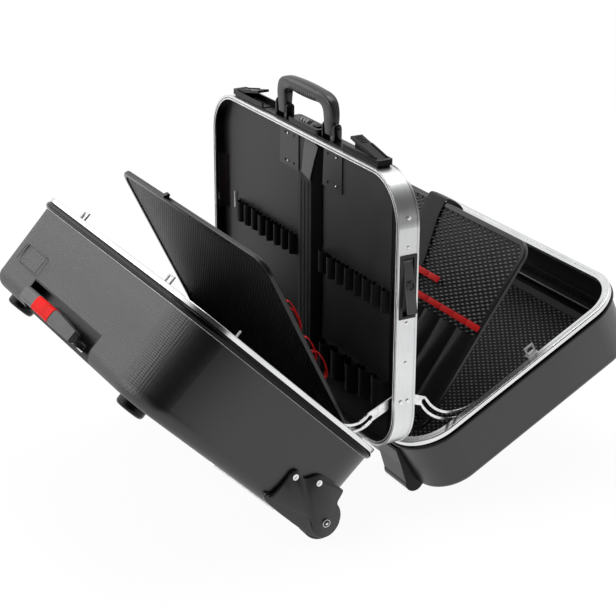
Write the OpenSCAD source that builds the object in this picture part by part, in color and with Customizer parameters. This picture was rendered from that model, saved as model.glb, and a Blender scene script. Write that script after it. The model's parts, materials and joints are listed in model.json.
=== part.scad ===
// Hard rolling tool case, standing open in a V: an upright centre frame with a
// shell hinged along each side of its foot. X runs across the two shells, Y runs
// along the hinges, Z is up. The origin is on the floor, under the middle of the frame.

/* [Case] */
// Width of the case, along the hinges
case_w = 510; // [440:1:620]
// Height of the centre frame and of both shells
case_h = 376; // [310:1:460]
// Radius of the four outline corners
corner_r = 62; // [50:1:75]
// Depth of the left shell, which carries the trolley
left_depth = 138.5; // [115:0.5:170]
// Depth of the right shell
right_depth = 97; // [84:0.5:115]
// Angle at which the left shell stands open
left_open = 45; // [40:0.5:50]
// Angle at which the right shell stands open
right_open = 62.5; // [56:0.5:68]

/* [Shells] */
// Wall of the moulded shells
shell_wall = 3; // [2.4:0.1:4]
// Rounding between the left shell's walls and its large face
left_edge_r = 18; // [14:0.5:22]
// Rounding between the right shell's walls and its large face
right_edge_r = 8; // [6:0.5:12]
// Draft of the shell walls, in degrees
draft = 2; // [1:0.1:3]
// Depth of the aluminium rim
rim_depth = 6.5; // [5:0.5:9]
// Width of the aluminium rim
rim_w = 11; // [9:0.5:14]
// Radius of the black bead below the rim
bead_r = 5; // [4:0.5:6]

/* [Centre frame] */
// Width of the frame band, across the case
frame_t = 30; // [26:1:36]
// Sheet thickness of the frame band
band_wall = 2; // [1.5:0.1:2.5]
// Thickness of the black liner inside the band
liner_wall = 2.4; // [2:0.1:3]
// Thickness of the centre panel
panel_t = 4; // [3:0.5:6]
// Width of the black side strips that carry the panel
side_strip = 32; // [28:1:40]
// Gap between the frame and each closed shell
closing_gap = 2; // [1.8:0.1:3]

/* [Hinges and stays] */
// Length of the piano hinges
hinge_len = 360; // [300:1:420]
// Knuckles of each piano hinge
hinge_knuckles = 12; // [8:2:16]
// Radius of the hinge knuckles
knuckle_r = 2.6; // [2.2:0.1:2.8]
// Radius of the hinge pins
hinge_pin_r = 1.3; // [1.1:0.1:1.5]
// Width of the slotted stays
stay_w = 13; // [11:0.5:15]
// Height of the stay pivots over the foot of the frame
stay_pivot_z = 80; // [70:1:90]
// Turn of a left stay for each degree of the left shell
left_stay_ratio = 1.83; // [1.7:0.01:1.9]
// Turn of a right stay for each degree of the right shell
right_stay_ratio = 1.2; // [1.1:0.01:1.3]

/* [Handle and locks] */
// Distance between the middles of the handle legs
handle_span = 126; // [110:1:140]
// Height of the handle above its pivots
handle_rise = 47; // [42:1:60]
// Thickness of the handle legs across the case
leg_t = 15; // [12:0.5:17]
// Width of the handle legs along the case
leg_w = 24; // [20:0.5:27]
// Length of the top latch levers
top_lever_len = 66; // [56:1:74]
// Angle at which the top latch levers stand open
top_lever_open = 12; // [8:1:20]
// Height of the side latches
side_latch_h = 84; // [76:1:96]
// Angle at which the side latch levers stand open
side_lever_open = 13; // [8:1:18]

/* [Tool boards] */
// Width of the left tool board
left_board_w = 428; // [350:1:440]
// Height of the left tool board
left_board_h = 298; // [250:1:310]
// Lean of the left board out of its shell, in degrees
left_board_lean = 19.5; // [15:0.1:21]
// Width of the right tool board
right_board_w = 440; // [350:1:446]
// Height of the right tool board
right_board_h = 288; // [240:1:300]
// Lean of the right board out of its shell, in degrees
right_board_lean = 27.5; // [22:0.1:30]
// Thickness of the tool boards
board_t = 4; // [3:0.5:5]

/* [Trolley] */
// Radius of the wheels
wheel_r = 28; // [24:0.5:30]
// Width of the wheels
wheel_w = 22; // [18:1:26]
// Distance between the trolley tubes
tube_span = 120; // [110:1:140]
// Length of the guide tubes
guide_len = 292; // [240:1:296]
// Length of the trolley grip
grip_len = 152; // [145:1:170]
// Radius of the axle bolts
axle_r = 4; // [3:0.5:5]

/* [Hidden] */
$fn = 64;

LEFT = -1;
RIGHT = 1;
NEAR = -1;
FAR = 1;
fit_gap = 0.3; // clearance between pieces that move past each other
pin_gap = 0.05; // running clearance of pins in their bores

// The hinge axes run along Y at the foot of the frame.
hinge_x = frame_t / 2 + closing_gap;
hinge_z = -3;
rim_low = 3; // from the hinge axis up to the rim outline when closed
face_in = 2 * left_edge_r + 12; // from the outline in to where the flat large face begins
outline_mid = rim_low + case_h / 2;

// Wheels, in the left shell's own depth and height.
axle_depth = left_depth - 26;
axle_height = 24;
wheel_out = case_w / 2 - 9.5; // outer face of a wheel

// The floor lies under the wheels, and the right feet reach down to it.
stand_h = -(hinge_z + axle_height * cos(left_open) - axle_depth * sin(left_open) - wheel_r);
foot_r = 14;
foot_height = 4;
foot_depth = (stand_h + hinge_z + foot_height * cos(right_open) - foot_r) / sin(right_open);
foot_w = 56;
foot_y = case_w / 2 - corner_r - foot_w / 2 - 2;
foot_seat = 0.15; // between a foot and the shell it is screwed to

band_in = case_w / 2 - band_wall; // inner face of the band, from the middle
liner_in = band_in - liner_wall;
panel_w = 2 * (case_w / 2 - 4 - side_strip);

// Piano hinge.
knuckle_pitch = hinge_len / hinge_knuckles;
leaf_t = 1.6;
leaf_gap = 0.4;

// Top plate, handle, lock.
plate_w = 20;
plate_t = 3;
plate_len = case_w - 2 * corner_r + 6;
plate_top = case_h + plate_t;
ear_t = 3;
ear_r = 6;
handle_pin_r = 2.5;
handle_pin_z = plate_top + 14;
grip_t = 20;
grip_r = 10.5;
lock_w = 20;
lock_h = 7;
lock_len = 80;
lock_y = -3;
dial_r = 5;
dial_t = 4.4;
dial_pitch = 7;
dial_y = 4;
dial_z = plate_top + 5.4;
slider_y = -30;

// Top latches.
latch_y = 190; // pivot of each top lever, from the middle
latch_base_h = 7;
lever_w = 17;
lever_t = 3.6;
lever_pin_z = plate_top + 4.2;
lever_pin_r = 1.3;

// Side latches.
side_latch_z = 237;
side_latch_w = 24;
housing_wall = 3.4;
housing_in = 7; // reach inside the band
housing_out = 2; // reach outside the band
side_lever_w = 13;
side_lever_t = 3.6;
side_lever_len = side_latch_h - 2 * housing_wall - 9;
side_pivot_z = side_latch_z + side_latch_h / 2 - housing_wall - 4;
side_pivot_y = case_w / 2 - 2.4;
key_r = 4.6;
key_drop = 31; // from the lever's pivot down to the key cylinder

// Catches that the latches hold.
top_catch_y = 135;
catch_h = rim_low + case_h - 18;
side_catch_h = 218;
catch_reach = 12;
wire = 2.4;
loop_w = 15;

// Stays.
stay_t = 2;
stay_face = case_w / 2 - rim_w - 0.5; // outer face of a left stay, from the middle
stay_step = 3; // the right stays lie this much further in
stay_pin_r = 2.5;
stay_slot_r = 3.1;
left_stud = [rim_depth + 3.5, 119]; // depth and height of the stud on the left shell
right_stud = [rim_depth + 3.5, 112];
stay_pivot_x = 5;

// Tool boards, pivoted low in the shells.
left_pivot = [9, 36];
right_pivot = [9, 30];
board_corner = 24;
edging_t = 7;
edging_w = 7;

// Trolley.
tube_depth = left_depth - shell_wall - 7;
guide_w = 20;
guide_d = 13;
tube_wall = 1.2;
tube_gap = 0.5;
guide_low = 48;
pocket_depth = 100;
pocket_low = rim_low + case_h - 27;
pocket_half = 112;
grip_front = tube_depth - 16.5;
grip_thick = 20.5;
grip_high = 20;
grip_low = rim_low + case_h - 8;
grip_middle = 8; // of the grip, off the middle of the case
button_y = 14;
button_half = 27;
button_drop = 3;

// ---------------------------------------------------------------- helpers

// Stands the whole model on the floor.
module standing() {
  translate([0, 0, stand_h]) children();
}

// A shell's own space, opened about its hinge: X is along the hinge, Y is the height
// over the hinge axis, and Z is the depth from the rim towards the large face.
module in_shell(side) {
  standing() mirror([side == LEFT ? 1 : 0, 0, 0]) translate([hinge_x, 0, hinge_z])
    rotate([0, side == LEFT ? left_open : right_open, 0]) rotate([90, 0, 90]) children();
}

// A board's own space inside its shell: Y runs up the board from its pivot.
module in_board(side) {
  pivot = side == LEFT ? left_pivot : right_pivot;
  lean = side == LEFT ? left_board_lean : right_board_lean;
  in_shell(side) translate([0, pivot[1], pivot[0]]) rotate([-lean, 0, 0]) children();
}

// Copies the children to the near and the far side.
module both_ends() {
  children();
  mirror([0, 1, 0]) children();
}

// The same inside a shell, where X runs along the hinge.
module both_sides() {
  children();
  mirror([1, 0, 0]) children();
}

// A rectangle with round corners, centred.
module round_rect(w, h, r) {
  union() {
    square([w - 2 * r, h], center = true);
    square([w, h - 2 * r], center = true);
    for (sx = [-1, 1], sy = [-1, 1]) translate([sx * (w / 2 - r), sy * (h / 2 - r)]) circle(r);
  }
}

// Sweeps a profile round a rounded rectangle. The profile's X is the distance outside
// the outline, and its Y is the depth.
module around(w, h, r) {
  for (k = [0:3]) {
    along = k % 2 == 0 ? h : w;
    across = k % 2 == 0 ? w : h;
    rotate([0, 0, 90 * k]) {
      translate([across / 2 - r, along / 2 - r, 0]) rotate_extrude(angle = 90) translate([r, 0]) children();
      translate([across / 2, along / 2 - r, 0]) rotate([90, 0, 0]) linear_extrude(along - 2 * r) children();
    }
  }
}

// The case outline, swept in the frame's upright plane.
module around_frame() {
  standing() translate([0, 0, case_h / 2]) rotate([90, 0, 90]) around(case_w, case_h, corner_r) children();
}

// The case outline, swept in a shell's rim plane.
module around_shell(side) {
  in_shell(side) translate([0, outline_mid, 0]) around(case_w, case_h, corner_r) children();
}

module box(low, high) {
  translate(low) cube(high - low);
}

// ---------------------------------------------------------------- centre frame

lip_h = 4.4;
lip_t = 2.6;

// Band with a lip along each edge.
module frame_band() {
  color("silver") difference() {
    around_frame() union() {
      translate([-band_wall, -frame_t / 2]) square([band_wall, frame_t]);
      for (s = [-1, 1]) translate([-lip_h, s * (frame_t - lip_t) / 2 - lip_t / 2]) square([lip_h + 0.8, lip_t]);
    }
    standing() both_ends() {
      side_latch_slot(0);
      stay_pin_holes();
    }
    standing() box([-frame_t, -hinge_len / 2 - 1, -2], [frame_t, hinge_len / 2 + 1, 0]);
  }
}

module side_latch_slot(grow) {
  half_w = side_latch_w / 2 - 1 + grow;
  half_h = side_latch_h / 2 - 1 + grow;
  box([-half_w, -case_w / 2 - 5, side_latch_z - half_h], [half_w, -liner_in + 20, side_latch_z + half_h]);
}

module stay_pin_holes() {
  for (s = [-1, 1])
    translate([s * stay_pivot_x, -case_w / 2 - 3, stay_pivot_z]) rotate([-90, 0, 0]) cylinder(r = stay_pin_r + pin_gap, h = 14);
}

// Black liner inside the band, with the side strips that hold the panel.
module frame_liner() {
  strip_t = 3;
  color("#1b1b1c") difference() {
    union() {
      around_frame() translate([-band_wall - liner_wall, -frame_t / 2 + lip_t])
        square([liner_wall, frame_t - 2 * lip_t]);
      standing() intersection() {
        translate([-strip_t / 2, 0, case_h / 2]) rotate([90, 0, 90]) linear_extrude(strip_t)
          round_rect(2 * liner_in + 1, case_h - 2 * (band_wall + liner_wall) + 1, corner_r - 4);
        both_ends() box([-strip_t, -case_w / 2, 0], [strip_t, -panel_w / 2, case_h]);
      }
    }
    standing() both_ends() {
      side_latch_slot(0);
      stay_pin_holes();
      box([-12, -liner_in, stay_pivot_z - 24], [12, -stay_face + stay_step + stay_t + 2, stay_pivot_z + 26]);
    }
  }
}

// Rivets of the band and the pivots of the stays.
module frame_rivets() {
  head_r = 2.8;
  head_h = 1.3;
  color("gainsboro") standing() both_ends() {
    for (z = [134, 188, 289, 327]) translate([0, -case_w / 2, z * case_h / 376]) rotate([90, 0, 0]) {
      cylinder(r1 = head_r, r2 = head_r - 1, h = head_h);
    }
    for (side = [LEFT, RIGHT]) translate([side * stay_pivot_x, 0, stay_pivot_z]) rotate([90, 0, 0]) {
      face = stay_out(side);
      translate([0, 0, case_w / 2]) cylinder(r = head_r, h = head_h);
      translate([0, 0, face - stay_t - 0.6]) cylinder(r = stay_pin_r, h = case_w / 2 - face + stay_t + 0.6);
      translate([0, 0, face + 0.2]) cylinder(r = stay_pin_r + 0.8, h = liner_in - face - 0.2);
      translate([0, 0, face - stay_t - 0.7]) cylinder(r = stay_pin_r + 0.8, h = 0.5);
    }
  }
}

module centre_panel() {
  high = case_h - 2 * (band_wall + liner_wall) - 0.4;
  color("#3a3b3d") standing() translate([-panel_t / 2, 0, case_h / 2]) rotate([90, 0, 90])
    linear_extrude(panel_t) intersection() {
      round_rect(2 * liner_in - 0.4, high, corner_r - band_wall - liner_wall);
      square([panel_w, high], center = true);
    }
}

// Plates on the panel that take the load of the handle, with their rivets.
module backing_plates() {
  plate = [52, 54];
  top = case_h - 10;
  color("#242526") standing() for (y = [-71, 45]) {
    box([-panel_t / 2 - 1.5, y - plate[0] / 2, top - plate[1]], [-panel_t / 2, y + plate[0] / 2, top]);
    for (dz = [-8, -47], dy = [-12, 12]) translate([-panel_t / 2 - 1.5, y + dy, top + dz]) rotate([0, -90, 0])
      cylinder(r = 1.8, h = 0.9);
  }
}

// Long black plate on top of the frame, with two ears beside each handle leg.
module top_plate() {
  color("#17181a") standing() difference() {
    union() {
      translate([0, 0, case_h]) linear_extrude(plate_t) round_rect(plate_w, plate_len, 5);
      for (s = [-1, 1], t = [-1, 1]) ear(s * handle_span / 2 + t * (leg_w / 2 + fit_gap + ear_t / 2));
    }
    translate([0, -handle_span, handle_pin_z]) rotate([-90, 0, 0]) cylinder(r = handle_pin_r, h = 2 * handle_span);
  }
}

module ear(y) {
  translate([0, y + ear_t / 2, 0]) rotate([90, 0, 0]) linear_extrude(ear_t) union() {
    translate([0, handle_pin_z]) circle(ear_r);
    translate([-ear_r, plate_top - 1]) square([2 * ear_r, handle_pin_z - plate_top + 1]);
  }
}

// Handle legs and a thick grip, with a stub pin in each ear.
module carry_handle() {
  half = handle_span / 2 + leg_w / 2;
  top = handle_pin_z + handle_rise;
  bottom = handle_pin_z - 11;
  round_out = 20;
  round_in = 9;
  gap_half = handle_span / 2 - leg_w / 2;
  gap_top = top - grip_t;
  pin_len = 2 * (leg_w / 2 + fit_gap + ear_t);
  color("#202123") standing() union() {
    difference() {
      translate([leg_t / 2, 0, 0]) rotate([0, -90, 0]) linear_extrude(leg_t) difference() {
        union() {
          translate([bottom + 5, -half]) square([top - bottom - 5 - round_out, 2 * half]);
          translate([top - round_out - 1, -half + round_out]) square([round_out + 1, 2 * (half - round_out)]);
          for (s = [-1, 1]) {
            translate([top - round_out, s * (half - round_out)]) circle(round_out);
            translate([handle_pin_z, s * handle_span / 2]) square([22, leg_w], center = true);
          }
        }
        translate([bottom - 1, -gap_half]) square([gap_top - round_in - bottom + 1, 2 * gap_half]);
        translate([gap_top - round_in - 1, -gap_half + round_in]) square([round_in + 1, 2 * (gap_half - round_in)]);
        for (s = [-1, 1]) translate([gap_top - round_in, s * (gap_half - round_in)]) circle(round_in);
      }
      for (s = [-1, 1]) leg_end(s);
    }
    translate([0, 0, top - grip_r]) rotate([90, 0, 0]) rotate_extrude() grip_outline(gap_half);
    for (s = [-1, 1]) translate([0, s * handle_span / 2 + pin_len / 2, handle_pin_z]) rotate([90, 0, 0])
      cylinder(r = handle_pin_r - pin_gap, h = pin_len);
  }
}

// Half outline of the grip, which swells towards its middle and has shallow ribs.
module grip_outline(half) {
  steps = 12;
  swell = 2.2;
  function grip_at(y) = grip_r - 0.6 + swell * cos(90 * y / half);
  difference() {
    polygon(concat([[0, -half - 1]], [for (k = [-steps:steps]) [grip_at(half * k / steps), half * k / steps + sign(k) * (abs(k) == steps ? 1 : 0)]],
      [[0, half + 1]]));
    for (k = [-6:6]) translate([grip_at(k * 6) + 0.5, k * 6]) circle(1.1, $fn = 16);
  }
}

// What is cut off a leg's foot so that it is round about its pivot.
module leg_end(s) {
  foot = 11;
  translate([0, s * handle_span / 2 + leg_w / 2 + 1, handle_pin_z]) rotate([90, 0, 0]) linear_extrude(leg_w + 2)
    difference() {
      translate([-foot - 5, -foot - 5]) square([2 * foot + 10, foot + 5]);
      circle(foot);
    }
}

// Combination lock.
module lock_body() {
  color("#1a1b1d") standing() difference() {
    union() {
      translate([0, lock_y, plate_top]) linear_extrude(lock_h) round_rect(lock_w, lock_len, 4);
    }
    for (k = [-1:1]) box([-7, dial_y + k * dial_pitch - dial_t / 2 - fit_gap, plate_top + 0.2],
      [7, dial_y + k * dial_pitch + dial_t / 2 + fit_gap, plate_top + lock_h + 1]);
    translate([0, dial_y - 16, dial_z]) rotate([-90, 0, 0]) cylinder(r = 1.2, h = 32);
    box([-5, slider_y - 8.5, plate_top + lock_h - 2], [5, slider_y + 8.5, plate_top + lock_h + 1]);
  }
}

// One digit wheel with its own stretch of the axle.
module lock_dial(k) {
  y = dial_y + (k - 2) * dial_pitch;
  digits = 10;
  color("#d8d9da") standing() translate([0, y, dial_z]) rotate([90, 0, 0]) difference() {
    union() {
      cylinder(r = dial_r - 0.3, h = dial_t, center = true);
      cylinder(r = 1.1, h = dial_pitch - 0.2, center = true);
    }
    for (d = [0:digits - 1]) rotate([0, 0, 360 * (d + 0.5) / digits]) translate([dial_r + 0.1, 0, 0])
      cylinder(r = 0.8, h = dial_t + 1, center = true, $fn = 16);
  }
}

module lock_slider() {
  color("#3a3b3d") standing() difference() {
    box([-4.7, slider_y - 2, plate_top + lock_h - 2], [4.7, slider_y + 8.2, plate_top + lock_h + 1.2]);
    for (k = [0:2]) box([-5, slider_y + k * 3, plate_top + lock_h + 0.6], [5, slider_y + k * 3 + 1.2, plate_top + lock_h + 2]);
  }
}

// Bases of the top latches: a channel with a cheek on each side of the lever.
module latch_bases() {
  long = top_lever_len + 24;
  low = latch_y + 8 - long;
  floor_t = 1;
  color("#17181a") standing() both_ends() difference() {
    translate([0, -low - long / 2, plate_top]) linear_extrude(latch_base_h) round_rect(lever_w + 5, long, 3);
    box([-lever_w / 2 - fit_gap, -latch_y - 3.6, plate_top + floor_t],
      [lever_w / 2 + fit_gap, -low + 1, plate_top + latch_base_h + 1]);
    translate([0, -latch_y, lever_pin_z]) rotate([0, 90, 0]) cylinder(r = lever_pin_r + pin_gap, h = 60, center = true);
  }
}

// A top lever, raised at its inner end, with its pivot pin and the hook under it.
module top_latch(end) {
  color("#1f2022") standing() mirror([0, end == FAR ? 1 : 0, 0]) translate([0, -latch_y, lever_pin_z])
    rotate([top_lever_open, 0, 0]) difference() {
      union() {
        box([-lever_w / 2, 0, -lever_t / 2 + 0.6], [lever_w / 2, top_lever_len, lever_t / 2 + 0.6]);
        rotate([0, 90, 0]) cylinder(r = 2.6, h = lever_w, center = true);
        rotate([0, 90, 0]) cylinder(r = lever_pin_r, h = lever_w + 4.6, center = true);
        for (s = [-1, 1]) box([s * (lever_w / 2 - 1) - 1, 3, -lever_t / 2 + 0.6], [s * (lever_w / 2 - 1) + 1, 40, lever_t / 2 + 1.8]);
      }
      for (k = [0:4]) box([-5, top_lever_len - 6 - 4 * k, lever_t / 2], [5, top_lever_len - 4 - 4 * k, lever_t]);
    }
}

// Housings of the side latches, let into the band, each with a pocket for its lever.
module side_latch_housings() {
  half_w = side_latch_w / 2;
  half_h = side_latch_h / 2;
  pocket_w = side_lever_w / 2 + 1.2;
  out = case_w / 2 + housing_out;
  color("#17181a") standing() both_ends() difference() {
    union() {
      box([-half_w, -out, side_latch_z - half_h], [half_w, -case_w / 2, side_latch_z + half_h]);
      box([-half_w + 1 + pin_gap, -case_w / 2 - 1, side_latch_z - half_h + 1 + pin_gap],
        [half_w - 1 - pin_gap, -case_w / 2 + band_wall + housing_in, side_latch_z + half_h - 1 - pin_gap]);
    }
    box([-pocket_w, -out - 1, side_latch_z - half_h + housing_wall],
      [pocket_w, -case_w / 2 + band_wall + housing_in - 2, side_latch_z + half_h - housing_wall]);
    translate([0, -side_pivot_y, side_pivot_z]) rotate([0, 90, 0])
      cylinder(r = 1.5 + pin_gap, h = side_latch_w - 3, center = true);
  }
}

// A side lever, swung out at its lower end, with its pivot, a hook and the key's bore.
module side_latch(end) {
  color("#6a6c6f") standing() mirror([0, end == FAR ? 1 : 0, 0]) translate([0, -side_pivot_y, side_pivot_z])
    rotate([-side_lever_open, 0, 0]) difference() {
      union() {
        box([-side_lever_w / 2, -side_lever_t / 2, -side_lever_len], [side_lever_w / 2, side_lever_t / 2, 1]);
        rotate([0, 90, 0]) cylinder(r = 2.6, h = side_lever_w, center = true);
        rotate([0, 90, 0]) cylinder(r = 1.5, h = side_latch_w - 4, center = true);
        box([-3, side_lever_t / 2, -side_lever_len + 5], [3, side_lever_t / 2 + 2, -side_lever_len + 9]);
      }
      translate([0, 0, -key_drop]) rotate([90, 0, 0]) cylinder(r = key_r + pin_gap, h = 20, center = true);
    }
}

module key_cylinder(end) {
  color("#c9cacc") standing() mirror([0, end == FAR ? 1 : 0, 0]) translate([0, -side_pivot_y, side_pivot_z])
    rotate([-side_lever_open, 0, 0]) translate([0, 0, -key_drop]) rotate([90, 0, 0]) difference() {
      cylinder(r = key_r, h = side_lever_t + 1.6, center = true);
      translate([0, 0, 2]) cube([0.9, 4.4, 3], center = true);
    }
}

// Frame leaves of both piano hinges, with their knuckles and the pins.
module frame_hinges() {
  color("silver") standing() for (side = [LEFT, RIGHT]) mirror([side == LEFT ? 1 : 0, 0, 0]) {
    translate([3, -hinge_len / 2, -leaf_t]) cube([hinge_x - 6, hinge_len, leaf_t]);
    for (k = [0:2:hinge_knuckles - 1]) translate([hinge_x, knuckle_y(k), hinge_z]) {
      knuckle();
      translate([-3.2, 0, knuckle_r - leaf_t - 0.2]) cube([3.2, knuckle_pitch - leaf_gap, leaf_t]);
      translate([-3.2, 0, knuckle_r - leaf_t - 0.2]) cube([1, knuckle_pitch - leaf_gap, -hinge_z - knuckle_r + leaf_t + 0.2]);
    }
    translate([hinge_x, hinge_len / 2, hinge_z]) rotate([90, 0, 0]) cylinder(r = hinge_pin_r, h = hinge_len);
  }
}

function knuckle_y(k) = -hinge_len / 2 + k * knuckle_pitch + leaf_gap / 2;

module knuckle() {
  translate([0, knuckle_pitch - leaf_gap, 0]) rotate([90, 0, 0]) difference() {
    cylinder(r = knuckle_r, h = knuckle_pitch - leaf_gap);
    translate([0, 0, -1]) cylinder(r = hinge_pin_r + pin_gap, h = knuckle_pitch + 2);
  }
}

// Shell leaf of a piano hinge, lying on the rim.
module shell_hinge_leaf(side) {
  color("silver") in_shell(side) {
    translate([-hinge_len / 2, rim_low + 0.2, -leaf_t]) cube([hinge_len, 8, leaf_t]);
    for (k = [1:2:hinge_knuckles - 1]) translate([knuckle_y(k), 0, 0]) {
      rotate([90, 0, 90]) difference() {
        union() {
          cylinder(r = knuckle_r, h = knuckle_pitch - leaf_gap);
          translate([0, -leaf_t, 0]) cube([rim_low + 0.4, leaf_t, knuckle_pitch - leaf_gap]);
        }
        translate([0, 0, -1]) cylinder(r = hinge_pin_r + pin_gap, h = knuckle_pitch + 2);
      }
    }
  }
}

// ---------------------------------------------------------------- centre panel's soft goods

strap_w = 34;

// Wide elastic strap down the middle of the panel.
module panel_strap() {
  color("#4a4b4e") standing() translate([0, 0, 0]) difference() {
    translate([-panel_t / 2 - 1.8, 0, 0]) rotate([90, 0, 90]) linear_extrude(1.5)
      polygon([[-32, case_h - 12], [2, case_h - 12], [2 + 14, 60], [-18, 60]]);
    box([-10, -60, case_h - 66], [0, -16, case_h - 8]);
  }
  color("#121213") standing() translate([-panel_t / 2 - 1.8, 0, 0]) rotate([90, 0, 90]) linear_extrude(1.5)
    polygon([
      [-44, case_h - 12], [-20, case_h - 12], [-17, case_h - 30], [-17, case_h - 65], [-30, case_h - 65], [-29.8, 296],
      [-26.4, 222], [-24.9, 190], [-18.9, 60], [-28, 60], [-33.6, 190], [-34, 222], [-42, 290], [-44.4, 330]
    ]);
}

// One row of elastic loops: a flat tape with round humps, as tall as the tape.
module loop_row(from, to, count, low, high, hump) {
  pitch = (to - from) / count;
  tape = 1.2;
  translate([-panel_t / 2 - 0.3, 0, low]) mirror([1, 0, 0]) linear_extrude(high - low) {
    for (k = [0:count - 1]) translate([0, from + (k + 0.5) * pitch]) difference() {
      union() {
        circle(hump);
        translate([0, -pitch / 2]) square([tape, pitch]);
      }
      circle(hump - tape);
      translate([-2 * hump, -2 * hump]) square([2 * hump, 4 * hump]);
    }
  }
}

module tool_loops() {
  color("#151516") standing() {
    loop_row(22, 200, 8, 192, 221, 8);
    loop_row(-212, -36, 8, 192, 221, 8);
  }
}

module pocket_loops() {
  color("#151516") standing() loop_row(-212, -52, 5, 52, 94, 12);
}

// ---------------------------------------------------------------- shells

// Solid profile of a shell, wall by wall in from the outside.
module shell_side(depth, inset, round) {
  edge = round + inset; // rounding of the outer face
  taper = tan(draft) * (depth - edge);
  x0 = -3 - inset;
  reach = -3 - taper - edge; // centre of the edge rounding
  centre = depth - edge;
  land = 4; // upright stretch of the wall below the rounding
  union() {
    polygon([
      [-face_in, rim_depth], [x0, rim_depth], [reach + round, centre - land], [reach + round, centre],
      [reach, centre + round], [-face_in, centre + round]
    ]);
    translate([reach, centre]) circle(round);
  }
}

module shell_profile(depth, round) {
  difference() {
    shell_side(depth, 0, round);
    shell_side(depth, shell_wall, round - shell_wall);
  }
  difference() {
    translate([-4, rim_depth + bead_r]) circle(bead_r);
    translate([-20, 0]) square([14, 30]);
  }
}

module shell_body(side, depth) {
  around_shell(side) shell_profile(depth, side == LEFT ? left_edge_r : right_edge_r);
  in_shell(side) translate([0, outline_mid, depth - shell_wall]) linear_extrude(shell_wall)
    round_rect(case_w - 2 * face_in, case_h - 2 * face_in, corner_r - face_in);
  stud = side == LEFT ? left_stud : right_stud;
  root = case_w / 2 - 4.5;
  in_shell(side) both_sides() translate([-root, stud[1], stud[0]]) rotate([0, 90, 0]) {
    cylinder(r = stay_pin_r, h = root - stay_out(side) + stay_t + 1.2);
    cylinder(r = stay_pin_r + 0.6, h = root - stay_out(side) - 0.3);
  }
}

module hinge_notch() {
  half = hinge_len / 2 + 2;
  box([-half, -20, -20], [half, rim_low + 0.2, knuckle_r + 1.4]);
}

module left_shell() {
  color("#2b2c2e") difference() {
    shell_body(LEFT, left_depth);
    in_shell(LEFT) {
      grip_pocket(0);
      label_recess();
      both_sides() wheel_corner();
    }
  }
}

module right_shell() {
  color("#2b2c2e") shell_body(RIGHT, right_depth);
}

// Space of the trolley grip's pocket, open at the top and at the large face.
module grip_pocket(grow) {
  box([-pocket_half - grow, pocket_low - grow, pocket_depth - grow],
    [pocket_half + grow, rim_low + case_h + 10, left_depth + 10]);
}

// Shallow bare recess in the top wall.
module label_recess() {
  box([118, rim_low + case_h - 3 - 3.4, 71], [185, rim_low + case_h + 5, 97]);
}

// Corner cut away over a wheel.
module wheel_corner() {
  box([-case_w / 2 - 5, -10, axle_depth - wheel_r - 8], [-wheel_out + wheel_w + 6, axle_height + wheel_r + 6, left_depth + 5]);
}

module shell_rim(side) {
  color("gainsboro") difference() {
    around_shell(side) union() {
      translate([-rim_w, 0]) square([rim_w - 1.5, rim_depth]);
      translate([-1.5, 1.5]) square([1.5, rim_depth - 1.5]);
      translate([-1.5, 1.5]) circle(1.5);
    }
    around_shell(side) translate([-rim_w / 2 - 0.6, -1]) square([1.2, 1.8]);
    in_shell(side) hinge_notch();
  }
}

// A catch: a bent wire loop on a plate behind the rim, in the shell's space.
module catch_loop() {
  box([-8, -13 + 7, 2], [8, 7, 3.6]);
  difference() {
    box([-loop_w / 2, -wire / 2, -catch_reach], [loop_w / 2, wire / 2, 2]);
    box([-loop_w / 2 + wire, -wire, -catch_reach + wire], [loop_w / 2 - wire, wire, 1]);
  }
}

module left_fittings() {
  color("gainsboro") in_shell(LEFT) both_sides() {
    translate([-top_catch_y, catch_h, 0]) catch_loop();
    board_clip();
    board_bracket(left_pivot);
  }
}

// Bracket on the lower wall that carries a tool board, with its pivot pin.
module board_bracket(pivot) {
  half = barrel_len / 2 + fit_gap;
  cheek = 2;
  low = rim_low + 6.6;
  for (s = [-1, 1]) translate([-barrel_y + s * (half + cheek / 2) - cheek / 2, 0, 0]) rotate([90, 0, 90])
    linear_extrude(cheek) union() {
      translate([low, rim_depth + 0.4]) square([pivot[1] - low, pivot[0] + 4 - rim_depth - 0.4]);
      translate([pivot[1], pivot[0]]) circle(4);
    }
  box([-barrel_y - half - cheek, low, rim_depth + 0.4], [-barrel_y + half + cheek, low + 2, rim_depth + 14]);
  translate([-barrel_y - half - cheek, pivot[1], pivot[0]]) rotate([0, 90, 0])
    cylinder(r = barrel_pin_r, h = 2 * (half + cheek));
}

// Thin clip on the side wall that steadies the tool board.
module board_clip() {
  high = rim_low + case_h - corner_r - 12;
  box([-case_w / 2 + rim_w + 0.05, high - 9, 1.5], [-case_w / 2 + rim_w + 1.4, high + 9, rim_depth + 6]);
  box([-case_w / 2 + rim_w + 0.05, high - 1, -9], [-case_w / 2 + rim_w + 2.2, high + 1, 2]);
}

module right_fittings() {
  color("gainsboro") in_shell(RIGHT) both_sides() {
    translate([-case_w / 2 + rim_w + 7, side_catch_h, 0]) rotate([0, 0, -90]) mirror([0, 1, 0]) catch_loop();
    board_bracket(right_pivot);
  }
}

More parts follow.
